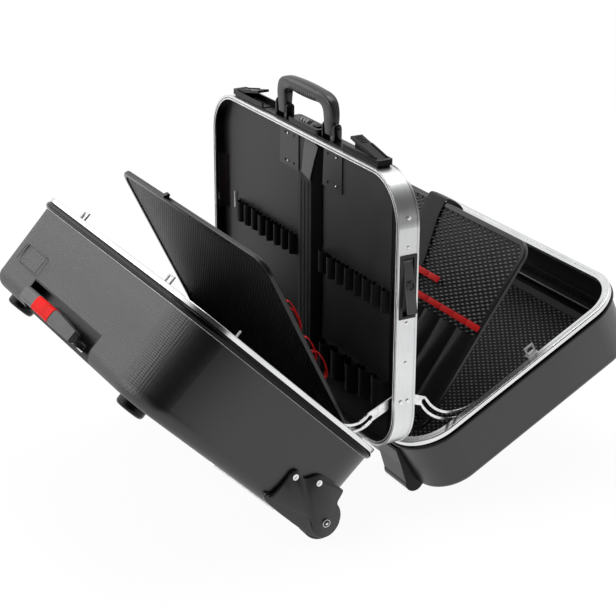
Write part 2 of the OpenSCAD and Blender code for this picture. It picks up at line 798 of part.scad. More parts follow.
// Feet of the right shell: a wedge along the lower wall that swells into a lobe.
module right_feet() {
  start = 24; // depth at which the wedge begins
  color("#0f0f10") difference() {
    in_shell(RIGHT) both_sides() translate([-foot_y - foot_w / 2, 0, 0]) rotate([90, 0, 90]) linear_extrude(foot_w) union() {
      translate([foot_height, foot_depth]) circle(foot_r);
      polygon([
        [12, start], [3, start], [1, start + 3], [-2, start + 26], [foot_height - foot_r * cos(35), foot_depth - foot_r * sin(35)],
        [foot_height, foot_depth], [foot_height + 8, foot_depth + foot_r - 2], [foot_height + 30, right_depth + 3],
        [foot_height + 30, right_depth - 6], [foot_height + 14, right_depth - 14]
      ]);
    }
    around_shell(RIGHT) shell_side(right_depth, -foot_seat, right_edge_r + foot_seat);
    around_shell(RIGHT) translate([-4, rim_depth + bead_r]) circle(bead_r + foot_seat);
    in_shell(RIGHT) translate([0, outline_mid, right_depth - 30]) linear_extrude(30 + foot_seat)
      round_rect(case_w - 2 * face_in + 4, case_h - 2 * face_in + 4, corner_r - face_in + 2);
  }
}

// Moulded ledge round the inside of the right shell, which holds its floor board.
module right_tray() {
  top = 50; // depth of the ledge
  low = right_depth - shell_wall - 0.2;
  color("#141415") around_shell(RIGHT)
    polygon([
      [-8.1, top], [-13, top], [-13.8, top + 2], [-13.8, low - 15], [-18.5, low], [-15.5, low],
      [-15.5, low - 5], [-9.6, low - 11]
    ]);
}

// Embossed board on the floor of the right shell.
module floor_board() {
  color("#242527") in_shell(RIGHT) translate([0, outline_mid, right_depth - shell_wall - 4]) linear_extrude(4)
    round_rect(case_w - 64, case_h - 64, corner_r - 30);
}

// Round feet on the left shell's large face.
module left_feet() {
  foot = 20;
  color("#0f0f10") in_shell(LEFT) both_sides() translate([-186, rim_low + case_h - 56, left_depth]) rotate_extrude() union() {
    square([foot, 7]);
    translate([0, 7]) square([foot - 5, 5]);
    translate([foot - 5, 7]) circle(5);
  }
}

// Metal glide rails on the large face above the wheels.
module glide_rails() {
  color("silver") in_shell(LEFT) both_sides() translate([-case_w / 2 + 48, 70, left_depth])
    translate([-5, 0, 0]) cube([10, 120, 3]);
}

// ---------------------------------------------------------------- trolley

// Pocket liner round the grip, with a hole for each tube in its floor.
module grip_housing() {
  wall = 2.2;
  color("#101011") in_shell(LEFT) difference() {
    intersection() {
      grip_pocket(-fit_gap / 3);
      translate([0, outline_mid, 0]) around(case_w, case_h, corner_r) shell_side(left_depth, 0, left_edge_r);
    }
    box([-pocket_half + wall, pocket_low + wall, pocket_depth + wall], [pocket_half - wall, case_h + 50, left_depth + 1]);
    for (s = [-1, 1]) translate([s * tube_span / 2, pocket_low, tube_depth])
      cube([guide_w - 2 * tube_wall + 0.4, 20, guide_d - 2 * tube_wall + 0.4], center = true);
  }
}

// A pair of rectangular tubes.
module tubes(w, d, low, long, grow_depth) {
  for (s = [-1, 1]) translate([s * tube_span / 2, low + long / 2, tube_depth]) difference() {
    cube([w, long, d], center = true);
    cube([w - 2 * tube_wall, long + 1, d - 2 * tube_wall], center = true);
  }
}

guide_top = pocket_low - fit_gap / 3;
middle_w = guide_w - 2 * tube_wall - tube_gap;
middle_d = guide_d - 2 * tube_wall - tube_gap;
inner_w = middle_w - 2 * tube_wall - tube_gap;
inner_d = middle_d - 2 * tube_wall - tube_gap;

module guide_tubes() {
  color("#8d8f92") in_shell(LEFT) {
    tubes(guide_w, guide_d, guide_top - guide_len, guide_len, 0);
    for (s = [-1, 1], low = [guide_top - guide_len, guide_top - 24]) translate([s * tube_span / 2, low, 0])
      for (t = [-1, 1]) translate([t * (guide_w / 2 + 4) - 4, 0, left_depth - shell_wall - 4]) cube([8, 20, 4]);
  }
}

module middle_tubes() {
  color("#a5a7aa") in_shell(LEFT) tubes(middle_w, middle_d, guide_top - guide_len + 6, guide_len - 4, 0);
}

module inner_tubes() {
  color("#c3c5c8") in_shell(LEFT) for (s = [-1, 1])
    translate([s * tube_span / 2 - inner_w / 2, guide_top - guide_len + 12, tube_depth - inner_d / 2])
      cube([inner_w, grip_low - guide_top + guide_len - 12, inner_d]);
}

module trolley_grip() {
  bar_r = 5;
  near = grip_middle - grip_len / 2;
  slope_from = button_y - button_half - 2;
  color("#4b4d50") in_shell(LEFT) difference() {
    translate([near, grip_low + grip_high / 2, grip_front + grip_thick / 2]) rotate([90, 0, 90])
      linear_extrude(grip_len) round_rect(grip_high, grip_thick, bar_r);
    box([button_y - button_half - fit_gap, grip_low + 5, grip_front - 1],
      [button_y + button_half + fit_gap, grip_low + grip_high + 1, grip_front + grip_thick + 1]);
    // The near end falls away and narrows towards the pocket.
    translate([0, 0, grip_front - 2]) linear_extrude(grip_thick + 4)
      polygon([[slope_from, grip_low + grip_high + 0.2], [near - 1, grip_low + grip_high - 11], [near - 1, grip_low + grip_high + 5]]);
    translate([0, grip_low - 1, 0]) rotate([-90, 0, 0]) linear_extrude(grip_high + 2) mirror([0, 1, 0])
      polygon([[slope_from, grip_front - 0.2], [near - 1, grip_front + 5], [near - 1, grip_front - 5]]);
  }
}

module trolley_button() {
  color("red") in_shell(LEFT) intersection() {
    translate([button_y - button_half, grip_low + grip_high / 2 + 0.8, grip_front + grip_thick / 2]) rotate([90, 0, 90])
      linear_extrude(2 * button_half) round_rect(grip_high, grip_thick, 5);
    box([button_y - button_half, grip_low + 5 + button_drop, grip_front - 1],
      [button_y + button_half, grip_low + grip_high + 2, grip_front + grip_thick + 1]);
  }
}

// Outline of a wheel bracket's side plate, X up the shell and Y in depth.
module bracket_outline() {
  union() {
    polygon([
      [axle_height - 8, axle_depth - 20], [axle_height + 7, axle_depth - 31], [axle_height + 15, axle_depth - 47],
      [axle_height + 42, axle_depth - 46], [axle_height + 50, axle_depth - 43], [axle_height + 78, axle_depth - 30],
      [axle_height + 92, axle_depth - 28], [axle_height + 95, axle_depth - 14], [axle_height + 97, axle_depth],
      [axle_height + 103, axle_depth + 13], [axle_height + 109, axle_depth + 20], [axle_height + 76, axle_depth + 16.5],
      [axle_height + 42, axle_depth + 12.5], [axle_height + 26, axle_depth + 9.5], [axle_height + 15, axle_depth + 14],
      [axle_height + 6, axle_depth + 19], [axle_height, axle_depth]
    ]);
    translate([axle_height, axle_depth]) circle(20);
    translate([axle_height + 50, axle_depth - 35]) circle(10);
    translate([axle_height + 86, axle_depth - 23]) circle(10);
  }
}

// Outline of the fender that lies a step deeper than the side plate.
module fender_outline() {
  union() {
    polygon([
      [axle_height + 104, axle_depth + 15], [axle_height + 100, left_depth - 3], [axle_height + 38, left_depth - 0.4],
      [axle_height + 10, axle_depth + 24], [axle_height - 4, axle_depth + 10], [axle_height, axle_depth - 10],
      [axle_height + 40, axle_depth]
    ]);
    translate([axle_height, axle_depth]) circle(wheel_r - 3);
  }
}

// Brackets that fill the cut corners: a side plate, an inner plate and the wheel arch.
module wheel_brackets() {
  plate = 3;
  inner = -wheel_out + wheel_w + 2;
  color("#26272a") difference() {
    in_shell(LEFT) both_sides() {
      translate([-case_w / 2 + 1, 0, 0]) rotate([90, 0, 90]) linear_extrude(plate + 1) bracket_outline();
      translate([-case_w / 2 + plate, 0, 0]) rotate([90, 0, 90]) linear_extrude(plate) fender_outline();
      translate([inner, 0, 0]) rotate([90, 0, 90]) linear_extrude(plate) intersection() {
        union() {
          translate([axle_height, axle_depth]) circle(20);
          translate([axle_height, axle_depth - wheel_r - 7.9]) square([wheel_r + 5.9, wheel_r + 26]);
          translate([9.5, axle_depth - wheel_r - 7.9]) square([40, wheel_r + 8]);
        }
        translate([-10, 0]) square([100, left_depth - 0.2]);
      }
      intersection() {
        box([-case_w / 2 + 4, 0, 0], [inner + 1, axle_height + wheel_r + 5.9, left_depth - 0.2]);
        difference() {
          box([-case_w / 2, 9.5, axle_depth - wheel_r - 7.9], [inner + 1, axle_height + wheel_r + 5.9, left_depth]);
          box([-case_w / 2 - 1, -10, axle_depth - wheel_r - 5], [inner + 2, axle_height + wheel_r + 3, left_depth + 1]);
        }
      }
    }
    in_shell(LEFT) both_sides() translate([-case_w / 2, axle_height, axle_depth]) rotate([0, 90, 0])
      cylinder(r = axle_r, h = 100, center = true);
  }
}

// Axle bolts through the brackets, and the bracket screws' heads.
module bracket_fasteners() {
  inner = wheel_out - wheel_w - 5;
  color("gainsboro") in_shell(LEFT) both_sides() {
    translate([-case_w / 2 + 1 - 2, axle_height, axle_depth]) rotate([0, 90, 0]) {
      cylinder(r = 5.4, h = 2);
      cylinder(r = axle_r, h = case_w / 2 + 1 - inner);
    }
    for (p = [[axle_height + 50, axle_depth - 35], [axle_height + 86, axle_depth - 23]])
      translate([-case_w / 2 + 1 - 1.4, p[0], p[1]]) rotate([0, 90, 0]) difference() {
        cylinder(r = 4.2, h = 1.4);
        translate([0, 0, 0]) cube([5, 1, 1.2], center = true);
      }
  }
}

module wheel(end) {
  hub_r = 17;
  color("#1c1c1d") in_shell(LEFT) mirror([end == FAR ? 1 : 0, 0, 0]) translate([-wheel_out, axle_height, axle_depth])
    rotate([0, 90, 0]) difference() {
      rotate_extrude() union() {
        translate([0, 2]) square([wheel_r - 1, wheel_w - 4]);
        translate([0, 0]) square([wheel_r - 3, wheel_w]);
        for (z = [3, wheel_w - 3]) translate([wheel_r - 3, z]) circle(3);
        translate([0, 3]) square([wheel_r, wheel_w - 6]);
      }
      translate([0, 0, -1]) cylinder(r = axle_r + pin_gap, h = wheel_w + 2);
      for (z = [-1, wheel_w - 3]) translate([0, 0, z]) difference() {
        cylinder(r = hub_r, h = 4);
        translate([0, 0, -1]) cylinder(r = 8, h = 6);
      }
    }
}

// ---------------------------------------------------------------- stays

// Where a shell's stud lies at a given angle, seen from the stay's pivot. X is outward.
function stud_at(stud, pivot_x, angle) = [
  hinge_x + stud[1] * sin(angle) + stud[0] * cos(angle) - pivot_x,
  hinge_z + stud[1] * cos(angle) - stud[0] * sin(angle) - stay_pivot_z
];
function turned(p, a) = [p[0] * cos(a) - p[1] * sin(a), p[0] * sin(a) + p[1] * cos(a)];

// Outer face of a stay, from the middle of the case.
function stay_out(side) = stay_face - (side == RIGHT ? stay_step : 0);

// The stud's path on the stay, as it lies when the case is open.
stay_steps = 14;
function stay_path(stud, pivot_x, open, ratio) = [
  for (k = [0:stay_steps]) let (angle = open * k / stay_steps)
    turned(stud_at(stud, pivot_x, angle), -ratio * (open - angle))
];
function heading(path, k) = let (
  a = path[max(k - 1, 0)],
  b = path[min(k + 1, len(path) - 1)]
) atan2(b[1] - a[1], b[0] - a[0]);
function beside(path, off) = [
  for (k = [0:len(path) - 1]) path[k] + off * [-sin(heading(path, k)), cos(heading(path, k))]
];
cap_steps = 12;
function cap(p, r, start) = [
  for (k = [1:cap_steps - 1]) let (a = start - 180 * k / cap_steps) p + r * [cos(a), sin(a)]
];
function backwards(list) = [for (k = [len(list) - 1:-1:0]) list[k]];

// A strip of even width along a path, with round ends.
module strip(path, half) {
  last = len(path) - 1;
  polygon(concat(
    beside(path, half), cap(path[last], half, heading(path, last) + 90),
    backwards(beside(path, -half)), cap(path[0], half, heading(path, 0) - 90)
  ));
}

module stay(side, end) {
  stud = side == LEFT ? left_stud : right_stud;
  path = stay_path(stud, stay_pivot_x, side == LEFT ? left_open : right_open,
    side == LEFT ? left_stay_ratio : right_stay_ratio);
  color("gainsboro") standing() mirror([side == LEFT ? 1 : 0, 0, 0]) mirror([0, end == FAR ? 1 : 0, 0])
    translate([stay_pivot_x, -stay_out(side) + stay_t, stay_pivot_z]) rotate([90, 0, 0]) linear_extrude(stay_t)
      difference() {
        strip(concat([[0, 0]], path), stay_w / 2);
        strip(path, stay_slot_r);
        circle(stay_pin_r + pin_gap);
      }
}

// ---------------------------------------------------------------- tool boards

board_base = 5; // from the pivot up to a board's lower edge
barrel_y = 150;
barrel_len = 16;
barrel_r = 3.5;
barrel_pin_r = 1.5;

module board_plate(w, h) {
  translate([0, board_base + h / 2, -board_t / 2]) linear_extrude(board_t)
    round_rect(w - 2 * edging_w + 4, h - 2 * edging_w + 4, board_corner - edging_w + 2);
}

// Edging clipped round a board, with a groove for the board's edge.
module board_edging(w, h) {
  for (s = [-1, 1]) translate([s * barrel_y - barrel_len / 2, 0, 0]) rotate([90, 0, 90]) difference() {
    union() {
      cylinder(r = barrel_r, h = barrel_len);
      translate([0, -barrel_r, 0]) cube([board_base + 1, 2 * barrel_r, barrel_len]);
    }
    translate([0, 0, -1]) cylinder(r = barrel_pin_r + pin_gap, h = barrel_len + 2);
  }
  translate([0, board_base + h / 2, 0]) difference() {
    around(w, h, board_corner) translate([-edging_w, -edging_t / 2]) union() {
      square([edging_w - 2, edging_t]);
      translate([0, 2]) square([edging_w, edging_t - 4]);
      for (y = [2, edging_t - 2]) translate([edging_w - 2, y]) circle(2);
    }
    translate([0, 0, -board_t / 2]) linear_extrude(board_t)
      round_rect(w - 2 * edging_w + 4, h - 2 * edging_w + 4, board_corner - edging_w + 2);
  }
}

module left_board() {
  color("#2f3032") in_board(LEFT) board_plate(left_board_w, left_board_h);
}

module left_edging() {
  color("#3b3c3f") in_board(LEFT) board_edging(left_board_w, left_board_h);
}

// Turn knob at the board's top edge.
module board_knob() {
  color("#0f0f10") in_board(LEFT) translate([60, board_base + left_board_h, 0]) rotate([-90, 0, 0]) {
    cylinder(r = 2.5, h = 3);
    translate([0, 0, 3]) cylinder(r1 = 5, r2 = 4, h = 4);
  }
}

// Red elastic loops along the near edge, on the face towards the frame. Each is a
// low arch: its middle up the board, half its length and its height.
module red_loops() {
  band = 5;
  thick = 1.2;
  color("red") in_board(LEFT) for (p = [[0.735, 21, 12], [0.575, 14, 9], [0.475, 22, 14]])
    translate([-left_board_w / 2 + 1.5, p[0] * left_board_h, -edging_t / 2 - 0.3]) rotate([0, 90, 0])
      linear_extrude(band) arch(p[1], p[2], thick);
}

// An arch over a chord: X is the height of the arch and Y runs along the chord.
module arch(half, rise, thick) {
  r = (half * half + rise * rise) / (2 * rise);
  difference() {
    translate([rise - r, 0]) circle(r);
    translate([rise - r, 0]) circle(r - thick);
    translate([-2 * r - 1, -r - 1]) square([2 * r + 1, 2 * r + 2]);
  }
}

module right_board() {
  color("#2f3032") in_board(RIGHT) board_plate(right_board_w, right_board_h);
}

module right_edging() {
  color("#2a2b2d") in_board(RIGHT) board_edging(right_board_w, right_board_h);
}

face_low = board_t / 2 + 0.3; // from a board's middle to what lies on its face
pocket_top = 152; // of the pleated pockets, up the board from its pivot

// Wide strap down the face of the right board and in a loose arch over its top edge.
module board_strap() {
  half = 18;
  thick = 1.5;
  top = board_base + right_board_h;
  arch_r = 16.5;
  color("#454649") in_board(RIGHT) union() {
    translate([0, 0, -edging_t / 2 - 1.8]) linear_extrude(thick)
      polygon([[13 - half, top + 1.8], [13 + half, top + 1.8], [-30 + half, pocket_top + 4], [-30 - half, pocket_top + 4]]);
    translate([13 - half, top + 1, -edging_t / 2 - 1.8 + arch_r]) rotate([90, 0, 90]) linear_extrude(2 * half) difference() {
      circle(arch_r);
      circle(arch_r - thick);
      translate([-arch_r - 1, -arch_r - 1]) square([arch_r + 1, 2 * arch_r + 2]);
    }
    box([13 - half, top - 30, -edging_t / 2 - 1.8 + 2 * arch_r - thick], [13 + half, top + 1.8, -edging_t / 2 - 1.8 + 2 * arch_r]);
    box([13 - half, top - 30, edging_t / 2 + 0.3], [13 + half, top - 30 + thick, -edging_t / 2 - 1.8 + 2 * arch_r]);
  }
}

// Two red elastic bands across the face of the right board.
module red_bands() {
  tape = 9;
  color("red") in_board(RIGHT) {
    box([-right_board_w / 2 + 8, 158, -edging_t / 2 - 3.6], [right_board_w / 2 - 8, 158 + tape, -edging_t / 2 - 2.2]);
    box([-74, 188, -edging_t / 2 - 3.6], [120, 188 + tape, -edging_t / 2 - 2.2]);
  }
}

// Pleated tool pockets on the lower half of the right board.
module board_pockets() {
  low = 24;
  high = pocket_top;
  count = 7;
  pitch = (right_board_w - 40) / count;
  color("#1d1e1f") in_board(RIGHT) translate([0, low, -face_low]) rotate([-90, 0, 0]) linear_extrude(high - low) union() {
    translate([-right_board_w / 2 + 20, 0]) square([right_board_w - 40, 1.6]);
    for (k = [0:count - 1]) translate([-right_board_w / 2 + 20 + (k + 0.5) * pitch, 0]) difference() {
      translate([0, -20]) circle(27, $fn = 48);
      translate([-60, -60]) square([120, 60]);
    }
  }
}

frame_band();
frame_liner();
frame_rivets();
centre_panel();
backing_plates();
top_plate();
lock_body();
latch_bases();
side_latch_housings();
frame_hinges();
panel_strap();
tool_loops();
pocket_loops();
carry_handle();
lock_dial(1);  // lock_dial_1
lock_dial(2);  // lock_dial_2
lock_dial(3);  // lock_dial_3
lock_slider();
top_latch(NEAR);  // top_latch_near
top_latch(FAR);  // top_latch_far
side_latch(NEAR);  // side_latch_near
side_latch(FAR);  // side_latch_far
key_cylinder(NEAR);  // key_cylinder_near
key_cylinder(FAR);  // key_cylinder_far
stay(LEFT, NEAR);  // stay_left_near
stay(LEFT, FAR);  // stay_left_far
stay(RIGHT, NEAR);  // stay_right_near
stay(RIGHT, FAR);  // stay_right_far
left_shell();
shell_rim(LEFT);  // left_rim
left_fittings();
shell_hinge_leaf(LEFT);  // left_hinge_leaf
grip_housing();
guide_tubes();
wheel_brackets();
bracket_fasteners();
left_feet();
glide_rails();
left_board();
left_edging();
board_knob();
red_loops();
wheel(NEAR);  // wheel_near
wheel(FAR);  // wheel_far
middle_tubes();
inner_tubes();
trolley_grip();
trolley_button();
right_shell();
shell_rim(RIGHT);  // right_rim
right_fittings();
shell_hinge_leaf(RIGHT);  // right_hinge_leaf
right_feet();
right_tray();
floor_board();
right_board();
right_edging();
board_strap();
red_bands();
board_pockets();
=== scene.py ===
"""Looks of a hard rolling tool case that stands open in a V.

Sizes are in millimetres in the part's own frames and become metres in put().
Lamps and the camera are placed in metres.
X runs across the two shells, Y along the hinges, Z up.
"""
import json
import math
import random

import bpy
import bmesh
from mathutils import Matrix, Vector


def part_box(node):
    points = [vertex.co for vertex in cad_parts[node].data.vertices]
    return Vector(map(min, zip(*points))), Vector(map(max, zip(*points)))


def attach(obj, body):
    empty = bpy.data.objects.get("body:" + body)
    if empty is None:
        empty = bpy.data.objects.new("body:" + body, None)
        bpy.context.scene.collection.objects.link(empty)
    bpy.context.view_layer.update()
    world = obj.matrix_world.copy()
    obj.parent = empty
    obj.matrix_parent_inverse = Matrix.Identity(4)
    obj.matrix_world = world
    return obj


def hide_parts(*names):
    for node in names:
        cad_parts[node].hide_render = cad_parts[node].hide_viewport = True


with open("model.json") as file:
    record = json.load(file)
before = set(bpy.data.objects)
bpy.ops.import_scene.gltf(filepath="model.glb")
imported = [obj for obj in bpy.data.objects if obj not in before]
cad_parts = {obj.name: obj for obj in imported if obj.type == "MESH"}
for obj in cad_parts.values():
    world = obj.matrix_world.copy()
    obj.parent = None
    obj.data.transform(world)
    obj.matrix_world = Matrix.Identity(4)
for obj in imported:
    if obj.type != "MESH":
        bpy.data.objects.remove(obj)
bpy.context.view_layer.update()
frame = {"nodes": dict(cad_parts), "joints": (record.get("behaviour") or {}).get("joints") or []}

random.seed(7)

MM = 0.001
TURN = 2 * math.pi
UP, ACROSS, ALONG = Vector((0, 0, 1)), Vector((1, 0, 0)), Vector((0, 1, 0))
LEFT, RIGHT = -1, 1
NEAR, FAR = -1, 1
SIDES = {LEFT: "left", RIGHT: "right"}
ENDS = {NEAR: "near", FAR: "far"}

# outline that the frame and both shells share
HALF_WIDTH = 255
HEIGHT = 376
CORNER = 62
LOW_EDGE = 3  # height of its lower edge over the hinges

RIM_DEPTH = 6.5  # depth at which a metal rim ends and its bead begins
PLATE_TOP = 366  # upper edge of the backing plates over the frame's foot
AXLE = (24, 112.5)  # height and depth of the wheels' axle in the deep shell
PAST_LEAN = 0.1  # degrees by which a board's joint limit passes its lean

# ---------------------------------------------------------------- the part's own frames

joints = {j["name"]: j for j in frame["joints"]}


def joint_limit(name):
    """A joint's upper limit, in degrees."""
    return joints[name]["range_deg"][1]


def joint_place(name):
    """A point on a joint's axis, in millimetres."""
    return Vector(joints[name]["pos_m"]) / MM


OPEN = {side: joint_limit(name + "_shell_hinge") for side, name in SIDES.items()}
HINGE = {side: joint_place(name + "_shell_hinge") for side, name in SIDES.items()}
LEAN = {side: joint_limit(name + "_board_tilt") - PAST_LEAN for side, name in SIDES.items()}
PIVOT = {side: joint_place(name + "_board_tilt") for side, name in SIDES.items()}
FOOT = HINGE[RIGHT].z + LOW_EDGE  # height of the frame's foot over the floor


def up_in(side):
    """Direction up a shell from its hinge."""
    a = math.radians(OPEN[side])
    return Vector((side * math.sin(a), 0, math.cos(a)))


def deep_in(side):
    """Direction into a shell, from the rim to the large face."""
    a = math.radians(OPEN[side])
    return Vector((side * math.cos(a), 0, -math.sin(a)))


def in_shell(side, along, height, depth):
    """A point given along the hinge, up the shell and into it."""
    return HINGE[side] + Vector((0, along, 0)) + up_in(side) * height + deep_in(side) * depth


def up_board(side):
    """Direction up a board from its pivot."""
    a = math.radians(LEAN[side])
    return up_in(side) * math.cos(a) - deep_in(side) * math.sin(a)


def off_board(side):
    """Direction out of a board's face towards the frame."""
    a = math.radians(LEAN[side])
    return -(up_in(side) * math.sin(a) + deep_in(side) * math.cos(a))


def on_board(side, along, height, off):
    """A point given along the hinge, up the board from its pivot and off its middle towards the frame."""
    return PIVOT[side] + Vector((0, along, 0)) + up_board(side) * height + off_board(side) * off


def on_frame(x, y, z):
    """A point of the centre frame, with z over the frame's foot."""
    return Vector((x, y, z + FOOT))


# ---------------------------------------------------------------- shader maths

class Field:
    """A value that varies over a surface. Arithmetic on it adds Math nodes."""

    def __init__(self, finish, socket):
        self.finish, self.socket = finish, socket

    def maths(self, operation, *values):
        return self.finish.node("ShaderNodeMath", {"operation": operation}, dict(enumerate(values)))

    def __add__(self, other):
        return self.maths("ADD", self, other)

    def __radd__(self, other):
        return self.maths("ADD", other, self)

    def __sub__(self, other):
        return self.maths("SUBTRACT", self, other)

    def __rsub__(self, other):
        return self.maths("SUBTRACT", other, self)

    def __mul__(self, other):
        return self.maths("MULTIPLY", self, other)

    def __rmul__(self, other):
        return self.maths("MULTIPLY", other, self)

    def __truediv__(self, other):
        return self.maths("DIVIDE", self, other)

    def __pow__(self, other):
        return self.maths("POWER", self, other)

    def abs(self):
        return self.maths("ABSOLUTE", self)

    def at_least(self, low):
        return self.maths("MAXIMUM", self, low)

    def cos(self):
        return self.maths("COSINE", self)

    def wave(self, pitch):
        """1 at every whole pitch, -1 half way between."""
        return (self * (TURN / pitch)).cos()

    def step(self, low, high):
        """0 below low, 1 above high, smooth between them."""
        return self.finish.node("ShaderNodeMapRange", {"interpolation_type": "SMOOTHSTEP"},
                                {"Value": self, "From Min": low, "From Max": high})


class Nodes:
    """A node tree that takes values, links and settings by name."""

    def __init__(self, tree):
        self.tree = tree

    def feed(self, socket, value):
        """Links a field to a socket, or sets the socket's own value."""
        if isinstance(value, Field):
            self.tree.links.new(value.socket, socket)
        else:
            socket.default_value = value

    def node(self, kind, settings=None, values=None, output=0):
        """Adds a node, sets it and feeds its sockets. Gives one of its outputs as a field."""
        made = self.tree.nodes.new(kind)
        for key, value in (settings or {}).items():
            setattr(made, key, value)
        for key, value in (values or {}).items():
            self.feed(made.inputs[key], value)
        return Field(self, made.outputs[output])

    def vectors(self, operation, values, output=0):
        return self.node("ShaderNodeVectorMath", {"operation": operation}, values, output)

    def dot(self, vector, direction):
        return self.vectors("DOT_PRODUCT", {0: vector, 1: tuple(direction)}, "Value")


class Finish(Nodes):
    """One material, with the object's own coordinates in millimetres."""

    def __init__(self, name):
        self.material = bpy.data.materials.new(name)
        self.material.use_nodes = True
        super().__init__(self.material.node_tree)
        self.shader = self.tree.nodes["Principled BSDF"]
        self.facing = self.node("ShaderNodeTexCoord", output="Normal")
        place = self.node("ShaderNodeTexCoord", output="Object")
        self.place = self.vectors("SCALE", {0: place, "Scale": 1 / MM})

    def along(self, direction, origin=(0, 0, 0)):
        """Distance from a point along a direction, in millimetres."""
        shift = Vector(direction).dot(Vector(origin))
        return self.dot(self.place, direction) - shift

    def about_axis(self, joint):
        """Distances across, up and away from the axis of a joint that lies along the hinges."""
        middle = joint_place(joint)
        x, z = self.along(ACROSS, middle), self.along(UP, middle)
        return x, z, (x * x + z * z) ** 0.5

    def noise(self, size, detail=3.0, stretch=(1, 1, 1)):
        """Cloudy value from 0 to 1, with lumps of a size in millimetres."""
        spread = self.vectors("MULTIPLY", {0: self.place, 1: tuple(s / size for s in stretch)})
        return self.node("ShaderNodeTexNoise", None, {"Vector": spread, "Scale": 1.0, "Detail": detail})

    def cells(self, size):
        """Distance to the middle of the nearest cell, for leather grain."""
        spread = self.vectors("SCALE", {0: self.place, "Scale": 1.0 / size})
        return self.node("ShaderNodeTexVoronoi", {"feature": "F1"}, {"Vector": spread, "Scale": 1.0})

    def blend(self, amount, first, second):
        """Colour between two, each a colour or a field."""
        return self.node("ShaderNodeMix", {"data_type": "RGBA"}, {0: amount, 6: first, 7: second}, 2)

    def bump(self, height, depth):
        """Raises the surface by height times depth, in millimetres."""
        lifted = self.node("ShaderNodeBump", None, {"Height": height, "Distance": depth * MM})
        self.feed(self.shader.inputs["Normal"], lifted)

    def set(self, **values):
        """Sets the shader's own sockets, with underscores for the spaces in their names."""
        for key, value in values.items():
            self.feed(self.shader.inputs[key.replace("_", " ")], value)
        return self.material


# ---------------------------------------------------------------- kinds of finish

def shade(value):
    """A grey with a faint blue cast."""
    return (value, value, value * 1.02, 1)


def toned(colour, by):
    """A colour made darker or lighter, with its alpha."""
    return tuple(c * by for c in colour) + (1,)


def moulded(name, colour, roughness, grain=0.7, depth=0.02, coat=0.0, mirror=0.5):
    """Moulded plastic with a fine grain, cloudy gloss and paler rubbed spots."""
    f = Finish(name)
    cloud, speck, cell = f.noise(40, 4), f.noise(grain, 2), f.cells(grain)
    f.bump(cell * 0.7 + speck * 0.5, depth)
    tone = f.blend(cloud.step(0.35, 0.7), toned(colour, 0.86), toned(colour, 1.14))
    return f.set(Base_Color=tone, Roughness=roughness - 0.05 + cloud * 0.1, Coat_Weight=coat,
                 Coat_Roughness=0.15, Specular_IOR_Level=mirror)


def brushed(name, colour, roughness, stretch, depth=0.004):
    """Metal with fine lines along its length."""
    f = Finish(name)
    lines, cloud = f.noise(1.0, 2, stretch), f.noise(60, 3)
    scuff = f.noise(5, 4).step(0.62, 0.75)
    f.bump(lines + scuff * 0.4, depth)
    tone = f.blend((lines * 0.6 + cloud * 0.5).step(0.25, 0.85), toned(colour, 0.82), toned(colour, 1.1))
    return f.set(Base_Color=tone, Metallic=1.0, Roughness=roughness - 0.06 + lines * 0.1 + scuff * 0.06)


def plated(name, colour, roughness):
    """Bright metal with small stains and fine pits."""
    f = Finish(name)
    cloud = f.noise(6, 4)
    f.bump(f.noise(0.8, 3), 0.006)
    tone = f.blend(cloud.step(0.3, 0.7), toned(colour, 0.8), toned(colour, 1.05))
    return f.set(Base_Color=tone, Metallic=1.0, Roughness=roughness + cloud * 0.12)


def woven(name, colour, run, cross, pitch, depth=0.12, rough=0.85, sheen=0.35, low=0.62, high=1.25):
    """Webbing or elastic: ribs along its run, crossed by finer picks."""
    f = Finish(name)
    u, v = f.along(run), f.along(cross)
    rib = v.wave(pitch) * 0.5 + 0.5
    pick = (u * (TURN / (pitch * 0.8)) + v.wave(2 * pitch) * 1.5).cos() * 0.5 + 0.5
    fuzz = f.noise(0.9, 3)
    weave = rib * 0.6 + pick * 0.4
    f.bump(weave + fuzz * 0.5, depth)
    tone = f.blend((weave * 0.7 + fuzz * 0.4).step(0.15, 0.95), toned(colour, low), toned(colour, high))
    return f.set(Base_Color=tone, Roughness=rough, Sheen_Weight=sheen, Sheen_Roughness=0.4,
                 Specular_IOR_Level=0.3)


def shell_skin(side):
    """Black moulding: fine dimples where it faces up, their crests painted lighter as painted highlights,
    smooth crowned near walls, and a darker black inside as painted shade.
    """
    middle_height, middle_depth = LOW_EDGE + HEIGHT / 2, 30.0
    dimple_pitch, dimple_depth, grain_depth = 3.0, 0.18, 0.03
    crown_start, crown = 225.0, 0.0014
    strength = 1.0 if side == LEFT else 0.4
    f = Finish(SIDES[side] + "_shell_skin")
    a, h, d = f.along(ALONG), f.along(up_in(side), HINGE[side]), f.along(deep_in(side), HINGE[side])
    upward = f.dot(f.facing, up_in(side))
    reach = (a * f.dot(f.facing, ALONG) + (h - middle_height) * upward
             + (d - middle_depth) * f.dot(f.facing, deep_in(side)))
    outside = reach.step(-4, 4)
    dimples = (a.wave(dimple_pitch) + h.wave(dimple_pitch) + d.wave(dimple_pitch)) / 3.0
    dimples = dimples * upward.step(0.55, 0.9)
    bent = (h - crown_start).at_least(0.0)
    cloud, fine = f.noise(70, 4), f.noise(0.6, 2)
    relief = (dimples * (dimple_depth * strength) + fine * grain_depth) * (outside * 0.9 + 0.1)
    f.bump(relief - bent * bent * outside * crown, 1.0)
    # painted highlights: dimple crests are coloured lighter than their hollows, fainter on the shallow shell,
    # with random tone from the cloud
    outer = f.blend((dimples * (0.9 * strength) + cloud * 0.4).step(-0.5, 0.9), shade(0.003), shade(0.022))
    # painted shade: the inside faces get a darker black than the outside
    inner = f.blend(cloud.step(0.3, 0.7), shade(0.0025), shade(0.004))
    return f.set(Base_Color=f.blend(outside, inner, outer), Roughness=0.52 - outside * 0.18 + cloud * 0.06,
                 Specular_IOR_Level=0.78)


